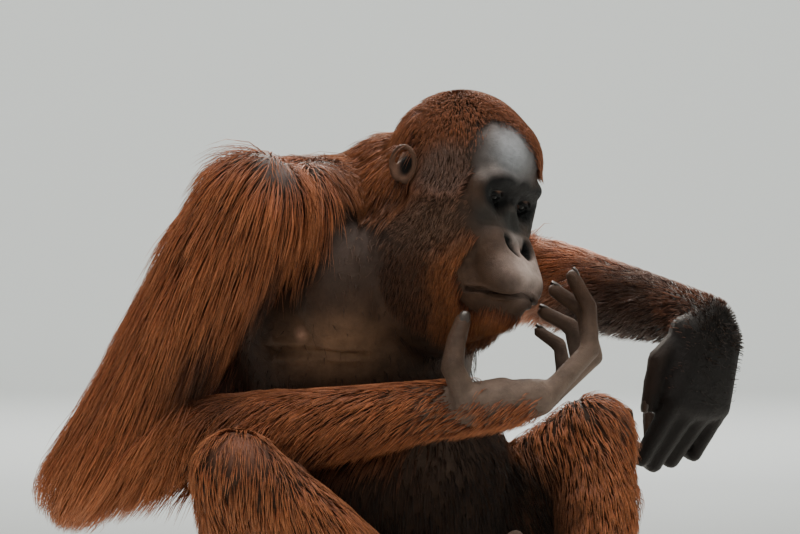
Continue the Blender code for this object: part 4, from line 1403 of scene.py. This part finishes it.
# %% Thickness of the coat
FOREHEAD_ROWS = (-4.6, -3.6, 1.2, 3.6, 4.8, 6.0, 8.0, 9.4)     # heights on the head
FOREHEAD_HALF = (-1.0, 5.6, 7.2, 6.9, 4.2, 3.3, 2.1, -0.5)      # half the bare face's width there
LEAN_ROWS = (3.6, 4.8, 9.5)
LEAN = (0.0, -2.0, -3.1)              # the bare brow's middle there: the hairline is lopsided
EDGE_ROWS = (2.5, 4.5)
EDGE = (-5.2, -3.2)                   # how far back the bare brow reaches there
BEARD_ROWS = (-10.4, -8.5, -6.1, -4.1)
BEARD_FRONT = (-8.9, -7.8, -8.0, -8.9)    # where the hair of the jaw ends
CHEEK_THIN = 0.30
WORN_SPOTS = (   # shoulder and knees: place, radius, strength
    ((-0.202, -0.091, 0.591), 0.032, 0.85),
    ((-0.303, -0.130, 0.292), 0.042, 0.50),
    ((0.205, -0.222, 0.312), 0.040, 0.30),
)
SHADED_HAND = 0.90        # the back of the left hand is nearly bare as well


def coat_thickness(points, normals):
    full = np.ones(len(points))
    local = in_head(points)
    y, z = local[:, 1], local[:, 2]
    on_head = apart(local, (0, -3, -2)) < 15
    bare_half = np.interp(z, FOREHEAD_ROWS, FOREHEAD_HALF)
    aside = np.abs(local[:, 0] - np.interp(z, LEAN_ROWS, LEAN))
    brow = np.clip((bare_half - aside) / 1.6 + 0.8, 0, 1) * fall(y, np.interp(z, EDGE_ROWS, EDGE), 1.2)
    front = np.interp(z, BEARD_ROWS, BEARD_FRONT)
    muzzle = np.clip((front - y) / 0.7 + 0.5, 0, 1) * rise(z, -11.6, 1.0) * (z < -3.0)
    cheek = fall(z, 3.4, 3.0) * rise(z + 0.62 * y, -8.6, 1.6) * fall(y, 1.0, 2.5)
    ears = [np.clip(2.5 * blob(local, *zone), 0, 1) for zone in pair((8.1, 1.8, 0.8), (2.6, 2.9, 3.3))]
    full *= 1 - np.max([brow, muzzle, *ears, CHEEK_THIN * cheek], axis=0) * on_head
    forward = np.clip(-normals[:, 1] * 1.4 + 0.25, 0, 1)
    chest = forward * rise(points[:, 2], 0.335, 0.05) * fall(np.abs(points[:, 0] + 0.015), 0.16, 0.03)
    chest *= 1 - rise(z, -12.0, 3.0) * (y > -12) * on_head
    throat = blob(points, (0.0, -0.12, 0.47), (0.15, 0.13, 0.13))
    flank = fall(points[:, 0], -0.05, 0.04) * fall(points[:, 1], 0.03, 0.03)
    flank *= rise(points[:, 2], 0.335, 0.04) * fall(points[:, 2], 0.57, 0.03)
    _, owner = region_weights(points)
    names = list(regions)
    torso = np.isin(owner, [names.index(n) for n in ("back", "belly", "nape")])
    bare_chest = np.interp(points[:, 2], (0.43, 0.47), (0.93, 0.76))
    full *= 1 - bare_chest * np.clip(np.max([chest, flank, 1.3 * throat], axis=0), 0, 1) * torso
    for spot, radius, strength in WORN_SPOTS:
        full *= 1 - strength * np.clip(1.5 * fade(apart(points, spot), radius), 0, 1)
    for limb in REACH:
        along, across, out = (np.array(v) for v in palm_frame(limb))
        offset = points - np.array(ROOT[limb])
        reach = offset @ along
        far, _ = from_line(points, np.array(ROOT[limb]), np.array(ROOT[limb]) + along * 0.2)
        near = fall(far, 0.060, 0.012) if "hand" in limb else fall(far, 0.046, 0.008)
        beyond = rise(reach, 0.012 if "hand" in limb else 0.025, 0.03) * near
        facing = np.clip(normals @ out * 2.0 + 0.9, SHADED_HAND if limb == "hand_left" else 0.0, 1)
        digits = rise(reach, 0.085, 0.03)
        aside = np.abs(offset @ across) < 0.075
        full *= 1 - beyond * np.maximum(facing, digits) * aside
    for spot, wide, direction, _ in knuckles:
        far, _ = from_line(points, np.array(spot - direction * 0.006), np.array(spot + direction * 0.05))
        full *= 1 - fall(far, wide + 0.007, 0.004)
    return full * rise(points[:, 2], 0.012, 0.02)


# %% [markdown]
# ## Room for the hair
#
# Long hair must not dive into the body or stray from it. A coarse grid holds, for each cell, the distance to
# the skin and the way out of it. A lock then feels its way along as it grows: where it gets too near the skin
# it is pushed out, and where it strays past the coat's depth it is drawn back.

# %% Distance from the skin
CELL = 0.011
MARGIN = 0.10
FACET = 0.008         # so far from a point the skin still counts as flat
SAMPLE = 0.005        # one point of the skin is enough in each cell of this size
skin_points = points_of(skin.data)
skin_normals = normals_of(skin.data)
_, sample = np.unique((skin_points / SAMPLE).round().astype(int), axis=0, return_index=True)
near_tree = KDTree(len(sample))
for index in sample:
    near_tree.insert(skin_points[index], int(index))
near_tree.balance()
grid_low = skin_points.min(0) - MARGIN
grid_count = np.ceil((skin_points.max(0) + MARGIN - grid_low) / CELL).astype(int) + 1
axes = [grid_low[i] + CELL * np.arange(grid_count[i]) for i in range(3)]
nodes = np.stack(np.meshgrid(*axes, indexing="ij"), -1).reshape(-1, 3)
found = np.array([near_tree.find(spot)[1] for spot in nodes])
offset = nodes - skin_points[found]
height = along_each(offset, skin_normals[found])
aside = np.sqrt(np.maximum((offset ** 2).sum(1) - height ** 2, 0))    # along the skin, from its nearest point
depth_grid = np.hypot(height, np.clip(aside - FACET, 0, None)) * np.where(height < 0, -1, 1)
depth_grid = depth_grid.reshape(grid_count)
out_grid = np.stack(np.gradient(depth_grid, CELL), -1)


def read_grid(grid, points):
    """The grid's values at some points, blended between its nodes."""
    place = np.clip((points - grid_low) / CELL, 0, grid_count - 1.001)
    base = place.astype(int)
    part = place - base
    total = 0.0
    for corner in np.ndindex(2, 2, 2):
        share = np.prod(np.where(corner, part, 1 - part), axis=1)
        value = grid[base[:, 0] + corner[0], base[:, 1] + corner[1], base[:, 2] + corner[2]]
        total = total + (share[:, None] if value.ndim > 1 else share) * value
    return total


print("distance grid:", tuple(int(c) for c in grid_count))

# %% [markdown]
# ## Growing locks
#
# A lock is a thin tapering wedge, three-sided so that it is a solid and not a card. All locks of a region
# grow together, one step at a time. Then each is drawn to the tip of a leader near it, which gathers the coat
# into the pointed clumps that real hair makes. Last, the wedges are written as one mesh from arrays, since
# an operator for each of a hundred thousand locks would take minutes.

# %% Grow and gather
chance = np.random.default_rng(20)
FLOOR_GAP = 0.003         # no hair goes nearer the floor
ROOT_DEPTH = 0.0012       # how far below the skin a lock starts
LEAST_HIGH = 0.0025       # each point of a lock stays this far off the skin
TIP_HIGH = 0.003          # and its tip this much further
EVEN = {"length": (0.82, 1.12), "stray": 0.04, "sway": 0.02}       # of short hair
UNEVEN = {"length": (0.62, 1.28), "stray": 0.07, "sway": 0.05}     # of long hair


def scatter(count, points, faces, weights):
    """Random places on the skin, more of them where the weights are high."""
    corners = points[faces]
    area = np.linalg.norm(np.cross(corners[:, 1] - corners[:, 0], corners[:, 2] - corners[:, 0]), axis=1)
    odds = area * weights
    picked = chance.choice(len(faces), count, p=odds / odds.sum())
    a, b = np.sqrt(chance.random(count)), chance.random(count)
    shares = np.stack([1 - a, a * (1 - b), a * b], 1)
    return picked, np.einsum("ij,ijk->ik", shares, corners[picked])


def grow(region, roots, normals, thickness):
    """The points of each lock, from root to tip."""
    _, share = from_line(roots, region.start, region.end)
    length = region.length[0] + (region.length[1] - region.length[0]) * share
    habit = EVEN if region.short else UNEVEN
    uneven = chance.uniform(*habit["length"], len(roots))
    length = length * (0.45 + 0.55 * np.clip(thickness * 1.4, 0, 1)) * uneven
    steps = region.rings
    stride = (length / steps)[:, None]
    way = lie_of_hair(roots) + chance.normal(0, habit["stray"], roots.shape)
    way = unit(way - normals * along_each(way, normals)[:, None])
    lift = (region.lift * chance.uniform(0.6, 1.35, len(roots)))[:, None]
    heading = way * np.cos(lift) + normals * np.sin(lift)
    spot = roots - normals * ROOT_DEPTH
    trail = [spot]
    sway = chance.normal(0, habit["sway"], roots.shape)
    for step in range(steps):
        spot = spot + heading * stride
        out = unit(read_grid(out_grid, spot))
        high = read_grid(depth_grid, spot)
        least = LEAST_HIGH + TIP_HIGH * (step + 1) / steps
        spot = spot + out * np.clip(least - high, 0, None)[:, None]
        spot = spot - out * (0.7 * np.clip(high - region.room, 0, None))[:, None]
        spot[:, 2] = np.maximum(spot[:, 2], FLOOR_GAP)
        trail.append(spot)
        lie = lie_of_hair(spot)
        lie = lie - out * np.minimum(along_each(lie, out), 0)[:, None]
        heading = unit(heading * 0.62 + lie * 0.38 + DOWN * region.droop + sway)
        dive = np.minimum(along_each(heading, out) + 0.25, 0)[:, None]
        heading = unit(heading - out * dive * (high < 0.02)[:, None])
    return np.stack(trail, 1)


def gather(trail, share_of_leaders, strength):
    """Draws each lock to the nearest leader, more towards the tip."""
    leaders = chance.choice(len(trail), max(4, int(len(trail) * share_of_leaders)), replace=False)
    roots = KDTree(len(leaders))
    for order, leader in enumerate(leaders):
        roots.insert(trail[leader, 0], order)
    roots.balance()
    chosen = leaders[[roots.find(root)[1] for root in trail[:, 0]]]
    pull = strength * np.linspace(0, 1, trail.shape[1]) ** 1.4
    pull = pull[None, :, None] * chance.uniform(0.5, 1.0, (len(trail), 1, 1))
    drawn = trail + (trail[chosen] - trail) * pull
    drawn[..., 2] = np.maximum(drawn[..., 2], FLOOR_GAP)
    return drawn, chosen


# %% [markdown]
# Each lock's colour runs from a dark root to a lighter tip, with its own share of the region's red, and the
# leaders' shade is common to their clump. The map named OFBake lays the skin of a region out flat, the angle
# round its line against the way along it, and gives each lock a tiny patch of that at its own root.

# %% Write locks as a mesh
PATCH = 0.003             # across each lock's place in the map
COLOUR_BLEND = 0.009      # width of the border in which two regions' colours mix
THINNING = 0.75           # how fast a lock tapers from its root to its tip


def chart(region, points):
    """Where places on a region lie on its skin unrolled: round the line, and along it."""
    way = unit(region.end - region.start)
    side = unit(np.cross(way, (0.3, 0.9, 0.2)))
    other = np.cross(way, side)
    offset = points - (region.start + region.end) / 2
    round_it = (np.arctan2(offset @ side, offset @ other) / (2 * pi)) % 1.0
    along_it = offset @ way
    along_it = (along_it - along_it.min()) / max(float(np.ptp(along_it)), 1e-6)
    return np.stack([0.01 + 0.98 * round_it, 0.01 + 0.98 * along_it], 1)


def ramp_colour(codes, share):
    low, middle, high = (np.array(linear(code)) for code in codes)
    share = share[..., None]
    return np.where(share < 0.5, low + (middle - low) * share * 2, middle + (high - middle) * (share * 2 - 1))


def lock_mesh(name, region, trail, normals, wide, tones):
    """One mesh of three-sided wedges: rings of three points, and a tip."""
    count, levels, _ = trail.shape
    rings = levels - 1
    along = unit(np.gradient(trail, axis=1))
    side = unit(np.cross(along, normals[:, None, :]))
    up = np.cross(side, along)
    level = np.arange(rings) / rings
    half = (wide[:, None] * (1.0 - THINNING * level ** 1.3))[..., None] * 0.5
    bodies = trail[:, :rings]
    ring = np.stack([bodies - side[:, :rings] * half, bodies + side[:, :rings] * half,
                     bodies + up[:, :rings] * half * 0.9], 2)
    verts = np.concatenate([ring.reshape(count, rings * 3, 3), trail[:, rings:]], 1)
    size = rings * 3 + 1
    loops, starts = [2, 1, 0], [0]
    patch = [(1.0, 0.0), (0.5, 0.0), (0.0, 0.0)]
    for r in range(rings - 1):
        for s in range(3):
            starts.append(len(loops))
            n = (s + 1) % 3
            loops += [r * 3 + s, r * 3 + n, r * 3 + 3 + n, r * 3 + 3 + s]
            low, high = r / rings, (r + 1) / rings
            patch += [(s / 3, low), ((s + 1) / 3, low), ((s + 1) / 3, high), (s / 3, high)]
    for s in range(3):
        starts.append(len(loops))
        n = (s + 1) % 3
        loops += [rings * 3 - 3 + s, rings * 3 - 3 + n, size - 1]
        patch += [(s / 3, (rings - 1) / rings), ((s + 1) / 3, (rings - 1) / rings), ((s + 0.5) / 3, 1.0)]
    loops, starts = np.array(loops), np.array(starts)
    mesh = bpy.data.meshes.new(name)
    mesh.vertices.add(count * size)
    mesh.vertices.foreach_set("co", verts.astype(np.float32).ravel())
    mesh.loops.add(count * len(loops))
    every = np.arange(count)[:, None]
    mesh.loops.foreach_set("vertex_index", (every * size + loops).astype(np.int32).ravel())
    mesh.polygons.add(count * len(starts))
    mesh.polygons.foreach_set("loop_start", (every * len(loops) + starts).astype(np.int32).ravel())
    mesh.update(calc_edges=True)
    spots = chart(region, trail[:, 0])
    layer = mesh.uv_layers.new(name="OFBake")
    uv = spots[:, None, :] + (np.array(patch)[None] - 0.5) * PATCH
    layer.data.foreach_set("uv", uv.astype(np.float32).ravel())
    shares = np.append(np.repeat(level, 3), 1.0)
    shade = np.clip(shares[None] * 0.85 + 0.10, 0, 1) ** 0.8
    colour = 0.0                  # a blend of the regions near the root, so that none has a hard edge
    for part, other in zip(region_weights(trail[:, 0], COLOUR_BLEND)[0], regions.values()):
        colour = colour + part[:, None, None] * ramp_colour(other.colours, shade)
    # painted shade in hollows, undersides and on the left arm, and a few markings
    for centre, semi, code, strength in COAT_MARKS_AND_SHADE:
        mix = np.clip(blob(trail[:, 0], centre, semi) * strength, 0, 1)[:, None, None]
        patch_tone = np.array(linear(code)) * (0.5 + 0.9 * shares)[:, None]
        colour = colour * (1 - mix) + patch_tone * mix
    store_tint(mesh, colour * tones[:, None, :])
    mesh.shade_smooth()
    return mesh


# %% [markdown]
# ## Hair as a material
#
# Orangutan hair is coarse and dry, with a dull sheen along it and no gloss. Where light comes from behind,
# the thin edge of the coat glows, which a little sheen of the same rust stands for.

# %% Hair material
hair, tree, shader = new_material("coarse_ape_hair")   # dry keratin: soft broad highlight, glowing edge
painted = add_node(tree, "Attribute", {"attribute_name": "Tint"}).outputs["Color"]
streaked, _, _ = mottled(tree, painted, 260.0, 3.0, 0.65, (0.3, 0.7), (0.75, 1.25))
tree.links.new(streaked, shader.inputs["Base Color"])
shader.inputs["Roughness"].default_value = 0.55
shader.inputs["Specular IOR Level"].default_value = 0.35
shader.inputs["Sheen Weight"].default_value = 0.14
shader.inputs["Sheen Roughness"].default_value = 0.4
shader.inputs["Sheen Tint"].default_value = (*linear("#d09468"), 1)

# %% Grow the coat
LEADERS = 0.10            # share of the locks that others are drawn to
triangles = np.empty(len(skin.data.polygons) * 3, np.int32)
skin.data.polygons.foreach_get("vertices", triangles)
triangles = triangles.reshape(-1, 3)
thick_here = coat_thickness(skin_points, skin_normals)
centres = skin_points[triangles].mean(1)
_, owner = region_weights(centres)
face_thickness = thick_here[triangles].mean(1)
total_triangles = 0
for index, (name, region) in enumerate(regions.items()):
    mine = face_thickness * (owner == index)
    picked, roots = scatter(region.tufts, skin_points, triangles, mine)
    normals = unit(skin_normals[triangles[picked]].mean(1))
    thickness = face_thickness[picked]
    trail = grow(region, roots, normals, thickness)
    trail, leader = gather(trail, LEADERS, region.clump)
    wide = region.wide * chance.uniform(0.6, 1.25, len(roots)) * (0.6 + 0.4 * thickness)
    own = chance.uniform(0.80, 1.20, (len(roots), 1))
    shared = 1 + (0.06 if region.short else 0.20) * chance.uniform(-1, 1, (len(roots), 1))[leader]
    redness = chance.normal(0, 0.05, (len(roots), 1))
    tones = own * shared * np.hstack([1 + redness, np.ones_like(redness), 1 - redness])
    mesh = lock_mesh("coat_" + name, region, trail, normals, wide, tones)
    mesh.materials.append(hair)
    piece = in_scene("coat_" + name, mesh)
    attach(piece, "root")
    count = region.tufts * (6 * region.rings - 2)
    total_triangles += count
    print(f"{name}: {region.tufts} locks, {count} triangles")
print("coat:", total_triangles, "triangles; skin:", len(skin.data.polygons))

# %% [markdown]
# ## Sizes
#
# The looks must stay in the box of the solids, with a little room for hair that stands proud. How far they
# reach past it at each end is printed.

# %% Print how far the looks reach past the solids
visual_box = [list(corner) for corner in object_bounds()]
for end, solids, seen in zip(("low", "high"), cad_box, visual_box):
    print("past the solids at the", end, "ends, in mm:", [round(1000 * (v - c), 1) for c, v in zip(solids, seen)])
